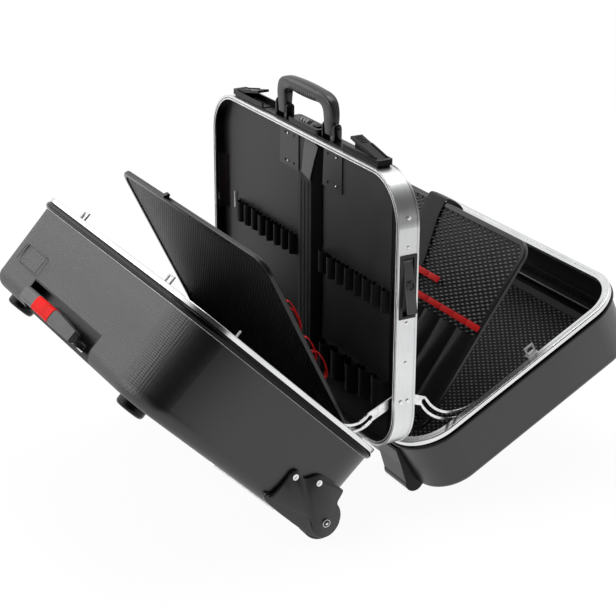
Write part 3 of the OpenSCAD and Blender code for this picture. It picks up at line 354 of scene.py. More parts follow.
def ovals(along, up, pitch_along, pitch_up, sharp):
    """Raised ovals in staggered rows, 0 between them and 1 on top."""
    return (along.wave(pitch_along) * up.wave(pitch_up)).at_least(0.0) ** sharp


def board_skin(name, side, pitch_along, pitch_up, depth, light, sharp, slope, gloss, mirror):
    """Board skin embossed with raised ovals, their tops painted lighter towards the light grey as painted
    highlights.
    """
    f = Finish(name)
    a, h = f.along(ALONG), f.along(up_board(side), PIVOT[side])
    bead = ovals(a + h * slope, h, pitch_along, pitch_up, sharp)
    fine, cloud = f.noise(0.7, 2), f.noise(50, 3)
    f.bump(bead + fine * 0.06, depth)
    # painted highlights: the ovals' tops are coloured lighter than the gaps between them
    tone = f.blend((bead * 0.9 + cloud * 0.25).step(0.1, 0.85), shade(0.003), shade(light))
    return f.set(Base_Color=tone, Roughness=gloss + 0.1 - bead * 0.12, Specular_IOR_Level=mirror)


def floor_board_skin():
    """The same kind of embossing on the board that lies on the shallow shell's floor, with the ovals' tops
    painted pale as painted highlights.
    """
    f = Finish("oval_embossed_floor")
    bead = ovals(f.along(ALONG), f.along(up_in(RIGHT), HINGE[RIGHT]), 12.0, 8.0, 1.6)
    f.bump(bead + f.noise(0.7, 2) * 0.06, 1.6)
    # painted highlights: the ovals' tops are coloured pale grey over near-black gaps
    tone = f.blend((bead * 0.9 + f.noise(50, 3) * 0.2).step(0.1, 0.9), shade(0.002), shade(0.30))
    return f.set(Base_Color=tone, Roughness=0.4 - bead * 0.1, Specular_IOR_Level=0.15)


def handle_skin():
    """Black handle: ribs under the grip, fine upright lines down both legs, with the crests of both painted
    lighter as painted highlights.
    """
    grip_half, leg_start = 34.0, 60.0
    rib_pitch, line_pitch = 5.2, 2.4
    f = Finish("ribbed_handle")
    x, a = f.along(ACROSS), f.along(ALONG)
    under = (f.dot(f.facing, UP) * -1.0).step(-0.15, 0.2) * (1.0 - (a.abs() - grip_half).step(0, 3))
    ribs = (a.wave(rib_pitch) * 0.5 + 0.5) * under
    legs = (a.abs() - leg_start).step(0, 6) * f.dot(f.facing, ALONG).abs().step(0.6, 0.9)
    lines = (x.wave(line_pitch) * 0.5 + 0.5) * legs
    cloud = f.noise(30, 4)
    f.bump(ribs * 1.2 + lines * 0.25 + f.noise(0.6, 2) * 0.03, 1.0)
    # painted highlights: rib and line crests are coloured lighter, with random tone from the cloud
    tone = f.blend((ribs * 0.4 + lines * 0.5 + cloud * 0.4).step(0.1, 0.9), shade(0.010), shade(0.036))
    return f.set(Base_Color=tone, Roughness=0.27 + cloud * 0.08, Specular_IOR_Level=0.6)


def key_skin(end):
    """Key cylinder: dark face, a bright ring and a slot painted near black as its shade."""
    f = Finish("key_face_" + ENDS[end])
    x, z, radius = f.about_axis("key_" + ENDS[end] + "_turn")
    ring = radius.step(2.5, 2.7) - radius.step(3.1, 3.3)
    slot = (1.0 - x.abs().step(0.35, 0.5)) * (1.0 - z.abs().step(1.5, 1.7))
    f.bump(ring - slot + f.noise(0.4, 2) * 0.1, 0.15)
    # painted shade: the slot is coloured near black
    tone = f.blend(slot, f.blend(ring, shade(0.16), shade(0.010)), shade(0.003))
    return f.set(Base_Color=tone, Roughness=0.34 + f.noise(3, 3) * 0.06, Metallic=1.0 - ring)


def wheel_skin(end):
    """Rubber tread outside, a harder glossy hub inside."""
    f = Finish("wheel_skin_" + ENDS[end])
    x, z, radius = f.about_axis("wheel_" + ENDS[end] + "_spin")
    tread = radius.step(19, 20)
    dust = f.noise(6, 4)
    f.bump(f.noise(0.5, 2) * 0.5 + radius.wave(1.2) * 0.15, 0.05)
    rubber = f.blend(dust.step(0.4, 0.75), shade(0.020), shade(0.040))
    return f.set(Base_Color=f.blend(tread, shade(0.030), rubber), Roughness=0.32 + tread * 0.35)


def floor_skin():
    """Pale table: keeps a soft shadow, shows white to the camera, and has painted shade far in front of the
    case, where its colour turns near black and mirror rays see that colour.
    """
    f = Finish("pale_floor")
    front = (f.along(ALONG) * -1.0).step(950, 2200)
    mirrored = f.node("ShaderNodeLightPath", output="Is Glossy Ray") * (1.0 - front)
    seen = f.node("ShaderNodeLightPath", output="Is Camera Ray").at_least(mirrored)
    # painted shade: the colour turns near black far in front of the case, for the unlit side of the room
    tone = f.blend(front, (0.9, 0.9, 0.9, 1), (0.03, 0.03, 0.03, 1))
    f.set(Base_Color=tone, Roughness=0.9, Specular_IOR_Level=0.0)
    glow = f.node("ShaderNodeEmission", None, {"Color": (1, 1, 1, 1), "Strength": 1.05})
    mixed = f.node("ShaderNodeMixShader", None, {0: seen * 0.9, 1: Field(f, f.shader.outputs[0]), 2: glow})
    f.feed(f.tree.nodes["Material Output"].inputs["Surface"], mixed)
    return f.material


# ---------------------------------------------------------------- finishes

case_black = moulded("satin_black_parts", (0.012, 0.012, 0.0125), 0.36, 0.6, 0.015)
gloss_black = moulded("glossy_black_parts", (0.007, 0.007, 0.0073), 0.16, 0.8, 0.008, coat=0.3)
deep_black = moulded("deep_black_parts", (0.004, 0.004, 0.0041), 0.28, 0.6, 0.012, mirror=0.22)
liner_black = moulded("black_liner", (0.008, 0.008, 0.0083), 0.34)
plate_black = moulded("black_backing_plate", (0.010, 0.010, 0.0105), 0.36, 0.7, 0.015)
bead_black = moulded("rim_bead_black", (0.003, 0.003, 0.0031), 0.24, 0.8, 0.008, mirror=0.18)
edging_black = moulded("dark_board_edging", (0.018, 0.018, 0.0185), 0.28, 0.6)
# painted shade: a near-black colour with almost no reflection, for tapes laid where shade falls
painted_shade_black = moulded("painted_shade_black_tape", (0.0008, 0.0008, 0.0008), 0.8, 1.0, mirror=0.04)
glossy_edge = moulded("glossy_tray_edge", (0.03, 0.03, 0.0305), 0.22, 0.8, 0.006, mirror=1.0)
panel_grey = moulded("grained_panel", (0.026, 0.026, 0.0265), 0.5, 0.8, 0.03, mirror=0.4)
bracket_grey = moulded("bracket_plastic", (0.028, 0.028, 0.0285), 0.36, 0.5)
# painted highlight: faint grey for the shallow shell's line under the bead, though its finish is named board
# edging
faint_highlight_paint = moulded("board_edging", (0.042, 0.042, 0.043), 0.36, 0.6)
lever_grey = moulded("grey_lever", (0.14, 0.14, 0.143), 0.34, 0.6, 0.012)
grip_grey = moulded("grey_grip", (0.11, 0.111, 0.114), 0.42, 0.5)
dial_grey = moulded("dial_plastic", (0.42, 0.42, 0.42), 0.4, 0.5, 0.01)
# painted highlight: pale grey for the deep shell's line under the bead
pale_highlight_paint = moulded("pale_painted_highlight_line", (0.72, 0.72, 0.725), 0.3, 0.6, 0.01)
button_red = moulded("red_button", (0.95, 0.008, 0.006), 0.45, 0.8, 0.01, mirror=0.08)
# painted reflection in part: pale metal catches and strips given a white diffuse colour so they show bright
# in shade
glint_white_paint = moulded("painted_glint_white", (0.86, 0.86, 0.87), 0.25, 0.6, 0.01)

band_metal = brushed("brushed_band", (0.80, 0.805, 0.81), 0.32, (4.0, 0.05, 0.05))
rim_metal = brushed("rim_metal", (0.82, 0.825, 0.83), 0.24, (2.5, 0.06, 2.5), 0.0012)
tube_metal = brushed("tube_metal", (0.62, 0.63, 0.64), 0.3, (3.0, 3.0, 0.06))
bright_metal = plated("bright_plate", (0.84, 0.84, 0.84), 0.16)
bead_metal = plated("bright_edge_bead", (0.95, 0.95, 0.95), 0.30)

grey_webbing = woven("grey_webbing", (0.19, 0.19, 0.195), UP, ALONG, 1.3)
strap_webbing = woven("strap_webbing", (0.026, 0.026, 0.027), UP, ALONG, 1.3)
board_webbing = woven("board_webbing", (0.060, 0.060, 0.062), up_board(RIGHT), ALONG, 1.3)
black_elastic = woven("black_elastic", (0.006, 0.006, 0.0065), ALONG, UP, 1.1, 0.12, 0.8, 0.15)
thread_grey = woven("grey_thread", (0.03, 0.03, 0.03), UP, ALONG, 0.6, 0.05, 0.7, 0.1)
pocket_cloth = woven("pocket_cloth", (0.012, 0.012, 0.0125), up_board(RIGHT), ALONG, 0.9, 0.05, 0.42, 0.1)
red_elastic = woven("red_elastic", (1.0, 0.010, 0.008), ALONG, up_board(RIGHT), 1.2, 0.08, 0.5, 0.0,
                    0.82, 1.0)
red_loop_elastic = woven("red_loop_elastic", (1.0, 0.012, 0.010), up_board(LEFT), ALONG, 1.2, 0.08, 0.5, 0.0,
                         0.82, 1.0)
dark_red_thread = woven("dark_red_thread", (0.35, 0.004, 0.004), ALONG, up_board(RIGHT), 0.6, 0.05, 0.6, 0.0)

handle_black = handle_skin()
left_board_skin = board_skin("fine_embossed_board", LEFT, 6.4, 6.4, depth=0.8, light=0.12, sharp=1.5,
                             slope=0.0, gloss=0.34, mirror=0.4)
right_board_skin = board_skin("oval_embossed_board", RIGHT, 13.0, 8.0, depth=2.6, light=0.19, sharp=1.0,
                              slope=0.35, gloss=0.24, mirror=0.28)


def dress_nodes():
    """Gives the CAD pieces their finishes, apart from the soft goods, which are made again below."""
    for material, nodes in (
            (band_metal, ["frame_band"]),
            (rim_metal, ["left_rim", "right_rim"]),
            (tube_metal, ["guide_tubes", "middle_tubes", "inner_tubes"]),
            (bright_metal, ["frame_rivets", "frame_hinges", "left_hinge_leaf", "right_hinge_leaf",
                            "glide_rails", "bracket_fasteners", "stay_left_near", "stay_left_far",
                            "stay_right_near", "stay_right_far"]),
            (glint_white_paint, ["left_fittings", "right_fittings"]),
            (liner_black, ["frame_liner"]),
            (panel_grey, ["centre_panel"]),
            (plate_black, ["backing_plates"]),
            (deep_black, ["top_plate", "lock_body", "lock_slider", "latch_bases", "top_latch_near",
                          "top_latch_far", "grip_housing", "left_feet", "right_feet"]),
            (dial_grey, ["lock_dial_1", "lock_dial_2", "lock_dial_3"]),
            (case_black, ["side_latch_housings"]),
            (lever_grey, ["side_latch_near", "side_latch_far"]),
            (key_skin(NEAR), ["key_cylinder_near"]),
            (key_skin(FAR), ["key_cylinder_far"]),
            (handle_black, ["carry_handle"]),
            (shell_skin(LEFT), ["left_shell"]),
            (shell_skin(RIGHT), ["right_shell"]),
            (gloss_black, ["right_tray", "board_knob"]),
            (left_board_skin, ["left_board"]),
            (right_board_skin, ["right_board"]),
            (floor_board_skin(), ["floor_board"]),
            (edging_black, ["left_edging", "right_edging"]),
            (bracket_grey, ["wheel_brackets"]),
            (wheel_skin(NEAR), ["wheel_near"]),
            (wheel_skin(FAR), ["wheel_far"]),
            (grip_grey, ["trolley_grip"]),
            (button_red, ["trolley_button"])):
        for node in nodes:
            mesh = frame["nodes"][node].data
            mesh.materials.clear()
            mesh.materials.append(material)


# ---------------------------------------------------------------- mesh work

def put(name, shape, material, body, sharp=38, replaces=()):
    """Makes a piece of points in millimetres and faces, which rides on a body.

    Edges that bend by more than sharp degrees stay sharp.
    """
    points, faces = shape
    mesh = bpy.data.meshes.new(name)
    mesh.from_pydata([tuple(Vector(p) * MM) for p in points], [], faces)
    work = bmesh.new()
    work.from_mesh(mesh)
    bmesh.ops.remove_doubles(work, verts=work.verts, dist=1e-6)
    bmesh.ops.recalc_face_normals(work, faces=work.faces)
    for face in work.faces:
        face.smooth = True
    for edge in work.edges:
        edge.smooth = edge.is_boundary or edge.calc_face_angle(0) < math.radians(sharp)
    work.to_mesh(mesh)
    work.free()
    piece = bpy.data.objects.new(name, mesh)
    bpy.context.scene.collection.objects.link(piece)
    mesh.materials.append(material)
    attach(piece, body)
    if replaces:
        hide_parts(*replaces)
    return piece


def skin(rings, looped=False):
    """Points and faces that join rings of as many points each, with flat ends unless looped."""
    count = len(rings[0])
    points = [p for ring in rings for p in ring]
    faces = []
    for i in range(len(rings) if looped else len(rings) - 1):
        base, after = i * count, (i + 1) % len(rings) * count
        for k in range(count):
            n = (k + 1) % count
            faces.append((base + k, base + n, after + n, after + k))
    if not looped:
        faces.append(tuple(range(count)))
        faces.append(tuple(range(len(points) - count, len(points))))
    return points, faces


def merged(*parts):
    """Several (points, faces) as one."""
    points, faces = [], []
    for more, joins in parts:
        start = len(points)
        points += more
        faces += [tuple(start + i for i in face) for face in joins]
    return points, faces


def circle(centre, first, second, radius, sides):
    """Points round a centre, in the plane of two directions."""
    turns = [TURN * k / sides for k in range(sides)]
    return [centre + (first * math.cos(a) + second * math.sin(a)) * radius for a in turns]


def boxed(value, power):
    """A sine or cosine drawn out towards a box's sides by a power under 1."""
    return math.copysign(abs(value) ** power, value)


def steered(path, looped=False):
    """Unit tangents of a path of points."""
    count = len(path)
    out = []
    for i in range(count):
        a = path[(i - 1) % count] if looped or i else path[0]
        b = path[(i + 1) % count] if looped or i < count - 1 else path[-1]
        out.append((b - a).normalized())
    return out


def tape(path, across, width, thick, columns=4):
    """A flat tape along a path. Its width is one, or one for each point."""
    rings = []
    for i, (p, t) in enumerate(zip(path, steered(path))):
        w = width[i] if isinstance(width, list) else width
        normal = t.cross(across).normalized()
        side = normal.cross(t).normalized()
        upper, lower = [], []
        for k in range(columns + 1):
            s = 2 * k / columns - 1
            half = thick / 2 * (0.35 if abs(s) == 1 else 1.0)
            upper.append(p + side * (s * w / 2) + normal * half)
            lower.append(p + side * (s * w / 2) - normal * half)
        rings.append(upper + lower[::-1])
    return skin(rings)


def rod(path, radius, sides=6, looped=False):
    """A round rod along a path."""
    rings = []
    tangents = steered(path, looped)
    normal = tangents[0].orthogonal().normalized()
    for p, t in zip(path, tangents):
        normal = (normal - t * normal.dot(t)).normalized()
        rings.append(circle(p, normal, t.cross(normal), radius, sides))
    return skin(rings, looped)


def dome(centre, axis, radius, height, sides=16, rows=4):
    """A shallow dome, such as a rivet head, with its flat side at centre."""
    tip = 0.02
    axis = axis.normalized()
    first = axis.orthogonal().normalized()
    second = axis.cross(first)
    rings = []
    for j in range(rows + 1):
        a = math.pi / 2 * j / rows
        rise = axis * (height * math.sin(a))
        rings.append(circle(centre + rise, first, second, max(radius * math.cos(a), tip), sides))
    return skin(rings)


def smooth_path(points, steps=8):
    """A smooth curve through points (Catmull-Rom)."""
    out = []
    pts = [points[0] * 2 - points[1]] + points + [points[-1] * 2 - points[-2]]
    for i in range(1, len(pts) - 2):
        a, b, c, d = pts[i - 1:i + 3]
        square = 2 * a - 5 * b + 4 * c - d
        cube = 3 * b - a - 3 * c + d
        for k in range(steps):
            t = k / steps
            out.append(0.5 * (2 * b + (c - a) * t + square * t * t + cube * t ** 3))
    out.append(points[-1])
    return out


def closed_curve(pairs, steps=3):
    """A smooth closed outline through flat points."""
    points = [Vector(p) for p in pairs]
    return smooth_path(points + points[:1], steps)[:-1]


def shrunk(points, by):
    """A closed flat outline moved inwards."""
    area = sum(p.x * q.y - q.x * p.y for p, q in zip(points, points[1:] + points[:1]))
    turn = by if area > 0 else -by
    out = []
    for i, p in enumerate(points):
        t = (points[(i + 1) % len(points)] - points[i - 1]).normalized()
        out.append(p + Vector((-t.y, t.x)) * turn)
    return out


def outline(half_w, low, high, corner, steps=10):
    """A rounded rectangle as (along, height) pairs."""
    pairs = []
    for k, (sx, mid) in enumerate([(1, high), (-1, high), (-1, low), (1, low)]):
        cx = sx * (half_w - corner)
        cz = mid - corner if mid == high else mid + corner
        for s in range(steps + 1):
            a = math.radians(90 * k + 90 * s / steps)
            pairs.append((cx + corner * math.cos(a), cz + corner * math.sin(a)))
    return pairs


def around(side, inset, depth):
    """The case's outline in a shell, moved in by inset, at a depth."""
    pairs = outline(HALF_WIDTH - inset, LOW_EDGE + inset, LOW_EDGE + HEIGHT - inset, CORNER - inset, 12)
    return [in_shell(side, a, h, depth) for a, h in pairs]


def over_frame(inset, x):
    """The frame's outline at x, moved in by inset, from the foot of one side over the top to the other."""
    steps = 14
    last_corner = 3 * (steps + 1)
    ring = outline(HALF_WIDTH - inset, inset, HEIGHT - inset, CORNER - inset, steps)
    return [on_frame(x, a, z) for a, z in ring[last_corner:] + ring[:last_corner]]


# ---------------------------------------------------------------- centre frame

def panel_strap():
    """Pale webbing from the plates down to a fold, then the wide darker strap, with a black band beside it
    that is painted shade along the strap's side.

    Each station is a height over the frame's foot, a place along the panel and a width.
    """
    pale = [(PLATE_TOP, -19.5, 35), (345, -12, 30), (322, -6, 25), (312, -3, 24)]
    wide = [(320, -1, 29), (304, 1, 34), (290, 1.5, 35), (240, 1.5, 35), (170, 2, 35), (110, 2, 35),
            (60, 2, 34)]
    # painted shade: stations of the near-black band beside the strap's shaded side
    black = [(PLATE_TOP, -41, 18), (340, -36, 24), (300, -31, 29), (220, -31, 29), (150, -31, 28),
             (100, -30, 26), (60, -29, 24)]

    def web(stations, off, columns=8):
        path = [on_frame(off, y, z) for z, y, w in stations]
        return tape(path, ALONG, [w for z, y, w in stations], 1.3, columns)

    folds = []
    for share in (-0.30, -0.02, 0.26):
        line = [on_frame(-4.0, y + share * w, z) for z, y, w in wide[1:]]
        folds.append(rod(smooth_path(line, 4), 0.55))
    put("panel_strap_web", merged(web(wide, -3.2), *folds), strap_webbing, "frame",
        replaces=["panel_strap"])
    put("panel_strap_top", web(pale, -4.6), grey_webbing, "frame")
    put("panel_strap_band", web(black, -3.3, 4), painted_shade_black, "frame")


def hump_path(start, pitch, count, hump, rise, slack):
    """Plan of an elastic tape that stands off in a round hump over each pitch, as (x, y, lift) triples.

    Each hump has a random width, lean and sag of its own.
    """
    flat = -3.6  # x where the tape lies on its backing
    sewn, clear = 0.4, 0.3  # where a flat stretch starts after a seam, and stops before a hump
    triples = []
    for k in range(count):
        middle = start + (k + 0.5) * pitch
        r = hump * random.uniform(0.82, 1.0)
        lean = random.uniform(-0.3, 0.3)
        lift = random.uniform(-slack, slack)
        triples += [(flat, start + k * pitch + sewn, 0), (flat, middle - r - clear, 0)]
        for s in range(11):
            a = math.pi * s / 10
            off = rise * r / hump * math.sin(a) * (1 + 0.4 * math.sin(3 * a) * lean)
            y = middle - r * math.cos(a) + lean * r * math.sin(a)
            triples.append((flat - off, y, lift * math.sin(a)))
        triples.append((flat, middle + r + clear, 0))
    triples.append((flat, start + count * pitch - sewn, 0))
    return triples


def loop_tape(name, spans, low, high, hump, rise, slack, node):
    """Rows of elastic loops over a flat black backing tape, partly the elastic between the loops and partly
    painted shade in the gaps, with a sewn line at each foot.

    Each span is its start and end along the panel and its count of loops.
    """
    middle, seam_inset = (low + high) / 2, 0.9
    loops, seams = [], []
    for start, end, count in spans:
        pitch = (end - start) / count
        plan = hump_path(start, pitch, count, hump, rise, slack)
        loops.append(tape([on_frame(x, y, middle + lift) for x, y, lift in plan], UP, high - low, 0.9))
        # painted shade in part: the wide backing blackens the gaps between the loops
        backing = [on_frame(-2.75, start + (end - start) * k / 4, middle) for k in range(5)]
        loops.append(tape(backing, UP, high - low + 2.4, 0.5))
        for k in range(count + 1):
            y = min(max(start + k * pitch, start + seam_inset), end - seam_inset)
            seams.append(rod([on_frame(-4.25, y, z) for z in range(low + 2, high - 1, 3)], 0.32))
    put(name, merged(*loops), black_elastic, "frame", replaces=[node])
    put(name + "_seams", merged(*seams), thread_grey, "frame")


def plate_rivets():
    """Small bright rivet heads over the backing plates."""
    heads = [dome(on_frame(-4.35, y, PLATE_TOP - drop), -ACROSS, 1.7, 0.7, 14, 3)
             for y in (-83, 48) for drop in (8, 47)]
    put("plate_rivet_heads", merged(*heads), bright_metal, "frame")


def frame_edge():
    """Two bright beads on the lip that faces the deep shell, with a dark groove between them."""
    beads = [rod(over_frame(inset, -14.8), 0.75, 8) for inset in (1.3, 5.0)]
    put("frame_edge_beads", merged(*beads), bead_metal, "frame")
    put("frame_edge_groove", rod(over_frame(3.15, -14.75), 0.6), liner_black, "frame")


def carry_handle():
    """Folding handle: two flat legs that run into a swelled grip.

    The outer line gives the place along the handle, the height and half the thickness across the frame.
    """
    outer = [(-73, 385, 6.0), (-74, 396, 6.5), (-75, 408, 7.2), (-74, 418, 7.5), (-70.5, 427, 7.8),
             (-62.5, 433.5, 8.3), (-52, 436.8, 8.9), (-38, 438.7, 9.7), (-20, 439.7, 10.3), (0, 440, 10.5)]
    inner = [(-53, 385), (-52, 396), (-51.5, 406), (-50.8, 412), (-49.3, 416.5), (-46.5, 419.6), (-42, 421.0),
             (-34, 420.4), (-19, 419.3), (0, 418.9)]
    outer += [(-y, z, w) for y, z, w in outer[-2::-1]]
    inner += [(-y, z) for y, z in inner[-2::-1]]
    grip_half, blend_length, sides = 36, 24, 28
    rings = []
    outside = smooth_path([Vector(p) for p in outer], 4)
    inside = smooth_path([Vector(p) for p in inner], 4)
    for far, close in zip(outside, inside):
        middle = on_frame(0, (far.x + close.x) / 2, (far.y + close.y) / 2)
        arm = Vector((0, far.x - close.x, far.y - close.y)) / 2
        leg = min(max((abs(middle.y) - grip_half) / blend_length, 0), 1)
        power = 2 / (2.3 + 2.4 * leg)  # near an ellipse at the grip, near a box down the legs
        ring = []
        for k in range(sides):
            c, n = math.cos(TURN * k / sides), math.sin(TURN * k / sides)
            ring.append(middle + arm * boxed(c, power) + ACROSS * boxed(n, power) * far.z)
        rings.append(ring)
    put("swelled_handle", skin(rings), handle_black, "carry_handle", 50, ["carry_handle"])


def ear_caps():
    """Glossy rounded posts outside the handle's legs, from (height, width) stations."""
    stations = ((379.5, 1), (393, 1), (396.5, 0.96), (399, 0.84), (400.6, 0.62), (401.4, 0.3), (401.6, 0.05))
    sides = 20
    posts = []
    for end in (NEAR, FAR):
        rings = []
        for z, grow in stations:
            ring = []
            for k in range(sides):
                c, n = math.cos(TURN * k / sides), math.sin(TURN * k / sides)
                ring.append(on_frame(6.7 * grow * boxed(c, 0.7), end * (78.2 + 2.6 * grow * n), z))
            rings.append(ring)
        posts.append(skin(rings))
    put("handle_ear_caps", merged(*posts), gloss_black, "frame", 50)


def key_rings():
    """Black collar round each key cylinder."""
    sunk, radius = 0.2, 5.2
    for end, name in ENDS.items():
        low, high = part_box("key_cylinder_" + name)
        face = (low if end == NEAR else high).y / MM - end * sunk
        middle = joint_place("key_" + name + "_turn")
        ring = circle(Vector((middle.x, face, middle.z)), ACROSS, UP, radius, 28)
        collar = rod(ring, 0.95, 8, looped=True)
        put("key_ring_" + name, collar, gloss_black, "side_latch_" + name)


def side_bright_strips():
    """Two narrow white strips at the panel's far edge, behind the far side latch, in the painted glint white.
    """
    upright = [on_frame(-4.2, 209, z) for z in (205, 213, 221, 229)]
    corner = [on_frame(-9.0, 247.2, z) for z in (207, 212, 217)]
    white_strips = merged(tape(upright, ALONG, [3.4, 3.0, 2.6, 2.2], 1.6, 3), tape(corner, ACROSS, 5.0, 1.2, 3))
    put("side_bright_strips", white_strips, glint_white_paint, "frame")


# ---------------------------------------------------------------- wheel brackets

def at_end(end, along, pairs):
    """Points of the deep shell at one end of the axle, from (height, depth) pairs."""
    return [in_shell(LEFT, end * along, height, depth) for height, depth in pairs]


def side_plates():
    """Side plates of the wheel brackets, with two screw lobes, from (height, depth) pairs."""
    edge = closed_curve((
        (122, 129.5), (118.5, 113), (118, 98), (118.5, 88), (113, 81.3), (105, 81.8), (97, 84.5), (91, 80),
        (84, 71.5), (75, 67.5), (62, 67), (50, 66.5), (42, 66), (34, 66.5), (31.5, 73), (29, 83), (21, 88),
        (12, 94.5), (5.5, 104), (4, 114), (6.5, 124), (13, 130.5), (22, 133), (33, 129.5), (42, 123.5),
        (52, 120.5), (64, 121.5), (82, 126), (102, 129.2)))
    face = shrunk(edge, 1.1)
    plates = [skin([at_end(end, 250.8, edge), at_end(end, 253.3, edge), at_end(end, 254.2, face)])
              for end in (NEAR, FAR)]
    put("wheel_side_plates", merged(*plates), bracket_grey, "left_half", 50,
        ["wheel_brackets"])


def wheel_housings():
    """Glossy fenders behind the side plates, and the wheels' housings.

    The wall behind each wheel follows the shell's rounded corner.
    """
    fender = closed_curve((
        (128, 128), (124, 135), (100, 137.6), (60, 138.1), (36, 137.8), (26, 136.8), (12, 132), (3.5, 124),
        (0.8, 112), (6, 98), (24, 92), (60, 100), (100, 112)))
    roof, roof_thick = 57.8, 2.7  # height of the housing's roof
    floor, floor_thick = 76.8, 2.6  # depth of the wall behind the wheel
    mouth = 138.1  # depth of the housing's open side
    round_axle = [Vector(AXLE) + Vector((math.cos(a), math.sin(a))) * 20
                  for a in (math.radians(90 + 15 * k) for k in range(9))]
    inner = [(roof, 138.2), (AXLE[0], 138.2)] + [tuple(p) for p in round_axle]
    inner += [(9.6, 98), (9.6, floor), (roof, floor)]
    housings = []
    for end in (NEAR, FAR):
        housings.append(skin([at_end(end, 247.6, fender), at_end(end, 250.0, fender),
                              at_end(end, 251.0, shrunk(fender, 1.3))]))
        housings.append(skin([at_end(end, 218.7, inner), at_end(end, 221.4, inner)]))
        back, top = [], []
        for k in range(9):
            a = 220.6 + 3.7 * k
            low = LOW_EDGE + 0.5 + CORNER - math.sqrt(CORNER ** 2 - (a - (HALF_WIDTH - CORNER)) ** 2)
            back.append(at_end(end, a, ((low, floor), (roof, floor), (roof, floor + floor_thick),
                                        (low, floor + floor_thick))))
            top.append(at_end(end, a, ((roof - roof_thick, 79), (roof, 79), (roof, mouth),
                                       (roof - roof_thick, mouth))))
        housings += [skin(back), skin(top)]
    put("wheel_housings", merged(*housings), gloss_black, "left_half", 50)


def axle_ends():
    """Domed cap and bright pin on each end of the axle."""
    caps = [dome(in_shell(LEFT, end * 254.2, *AXLE), ALONG * end, 6.2, 2.9, 20, 5) for end in (NEAR, FAR)]
    pins = [dome(in_shell(LEFT, end * 256.8, *AXLE), ALONG * end, 2.0, 0.7, 12, 3) for end in (NEAR, FAR)]
    put("axle_caps", merged(*caps), gloss_black, "left_half", 60)
    put("axle_pins", merged(*pins), bright_metal, "left_half")


# ---------------------------------------------------------------- shells

def edge_line(side, finish):
    """Thin line below the black bead, all round a shell: a rod coloured as the painted highlight on the
    bead's lower edge, pale on the deep shell and faint on the shallow one.
    """
    line = rod(around(side, 3.45, 17.0), 0.62, looped=True)
    put(SIDES[side] + "_edge_line", line, finish, SIDES[side] + "_half")


def rim_bead(side):
    """Dark rounded bead between a shell's metal rim and its wall, as a thin curved strip."""
    sunk, middle = 4, RIM_DEPTH + 5
    rings = []
    for radius, turns in ((5.3, range(-80, 81, 20)), (5.05, range(80, -81, -20))):
        for t in turns:
            a = math.radians(t)
            rings.append(around(side, sunk - radius * math.cos(a), middle + radius * math.sin(a)))
    put(SIDES[side] + "_rim_bead", skin(rings, looped=True), bead_black, SIDES[side] + "_half")


def label_outline():
    """Thin raised line round the bare label recess in the deep shell's top wall."""
    inset, sunk = 3, 0.4  # of the wall's outer face in the outline, and of the line in that face
    top = LOW_EDGE + HEIGHT - inset - sunk
    ring = [in_shell(LEFT, 151.5 + a, top, 84 + h) for a, h in outline(34.5, -14, 14, 4, 5)]
    put("label_outline", rod(ring, 0.45, looped=True), gloss_black, "left_half")


def tray_edge():
    """Glossy rounded edge of the ledge inside the shallow shell."""
    edge = rod(around(RIGHT, 14.3, 79.0), 1.5, 10, looped=True)
    put("tray_edge", edge, glossy_edge, "right_half")


# ---------------------------------------------------------------- boards

def red_loops():
    """Red elastic loops that arch along the left board's near edge.

    Each has its place as a share of the board's height, half its length and its rise.
    """
    board_high, board_edge, wide = 298, -214, 7.0
    steps, tail = 20, 2
    loops = []
    for share, half, rise in ((0.72, 22, 6), (0.70, 15, 4.5), (0.535, 18, 6), (0.44, 22, 10)):
        path, widths = [], []
        for s in range(-tail, steps + tail + 1):
            t = min(max(s / steps, 0), 1)
            arch = math.sin(math.pi * t)
            height = share * board_high - half * math.cos(math.pi * t) + (s - steps * t) * 1.2
            lift = max(rise * arch ** 0.8 - 0.6, 0)
            path.append(on_board(LEFT, board_edge + 4 + 1.5 * arch, height, 3.9 + lift))
            widths.append(wide * (1.0 - 0.12 * arch))
        loops.append(tape(path, ALONG, widths, 1.1))
    put("red_loop_bands", merged(*loops), red_loop_elastic, "left_tool_board",
        replaces=["red_loops"])


def board_black_wedge():
    """Tapered near-black wedge of tape down the left board's face, in the painted-shade black, from (height,
    distance off the board, width) stations.
    """
    stations = [(276, 3.0, 9), (262, 3.6, 11), (245, 3.9, 10), (228, 3.7, 7.5), (212, 3.3, 5),
                (201, 3.0, 2.5)]
    path = [on_board(LEFT, 33, height, off) for height, off, w in stations]
    tab = tape(path, ALONG, [w for height, off, w in stations], 1.4)
    put("board_black_wedge", tab, painted_shade_black, "left_tool_board")


def red_bands():
    """Red elastic bands that stand off the right board between their sewn points."""
    steps = 8
    bands, seams = [], []
    for low, high, start, end, count in ((158, 167, -219, 212, 14), (188, 197, -96, 120, 8)):
        pitch, middle = (end - start) / count, (low + high) / 2
        path = []
        for k in range(count * steps + 1):
            bow = abs(math.sin(math.pi * k / steps)) ** 0.7
            path.append(on_board(RIGHT, start + pitch * k / steps, middle, 5.9 + 0.8 * bow))
        bands.append(tape(path, up_board(RIGHT), high - low - 0.4, 0.9))
        for k in range(1, count):
            a = start + k * pitch
            stitch = [(a, low + 0.8), (a + 0.5, middle), (a, high - 0.8)]
            seams.append(rod([on_board(RIGHT, along, height, 6.5) for along, height in stitch], 0.3))
    put("red_band_tapes", merged(*bands), red_elastic, "right_tool_board",
        replaces=["red_bands"])
    put("red_band_seams", merged(*seams), dark_red_thread, "right_tool_board")


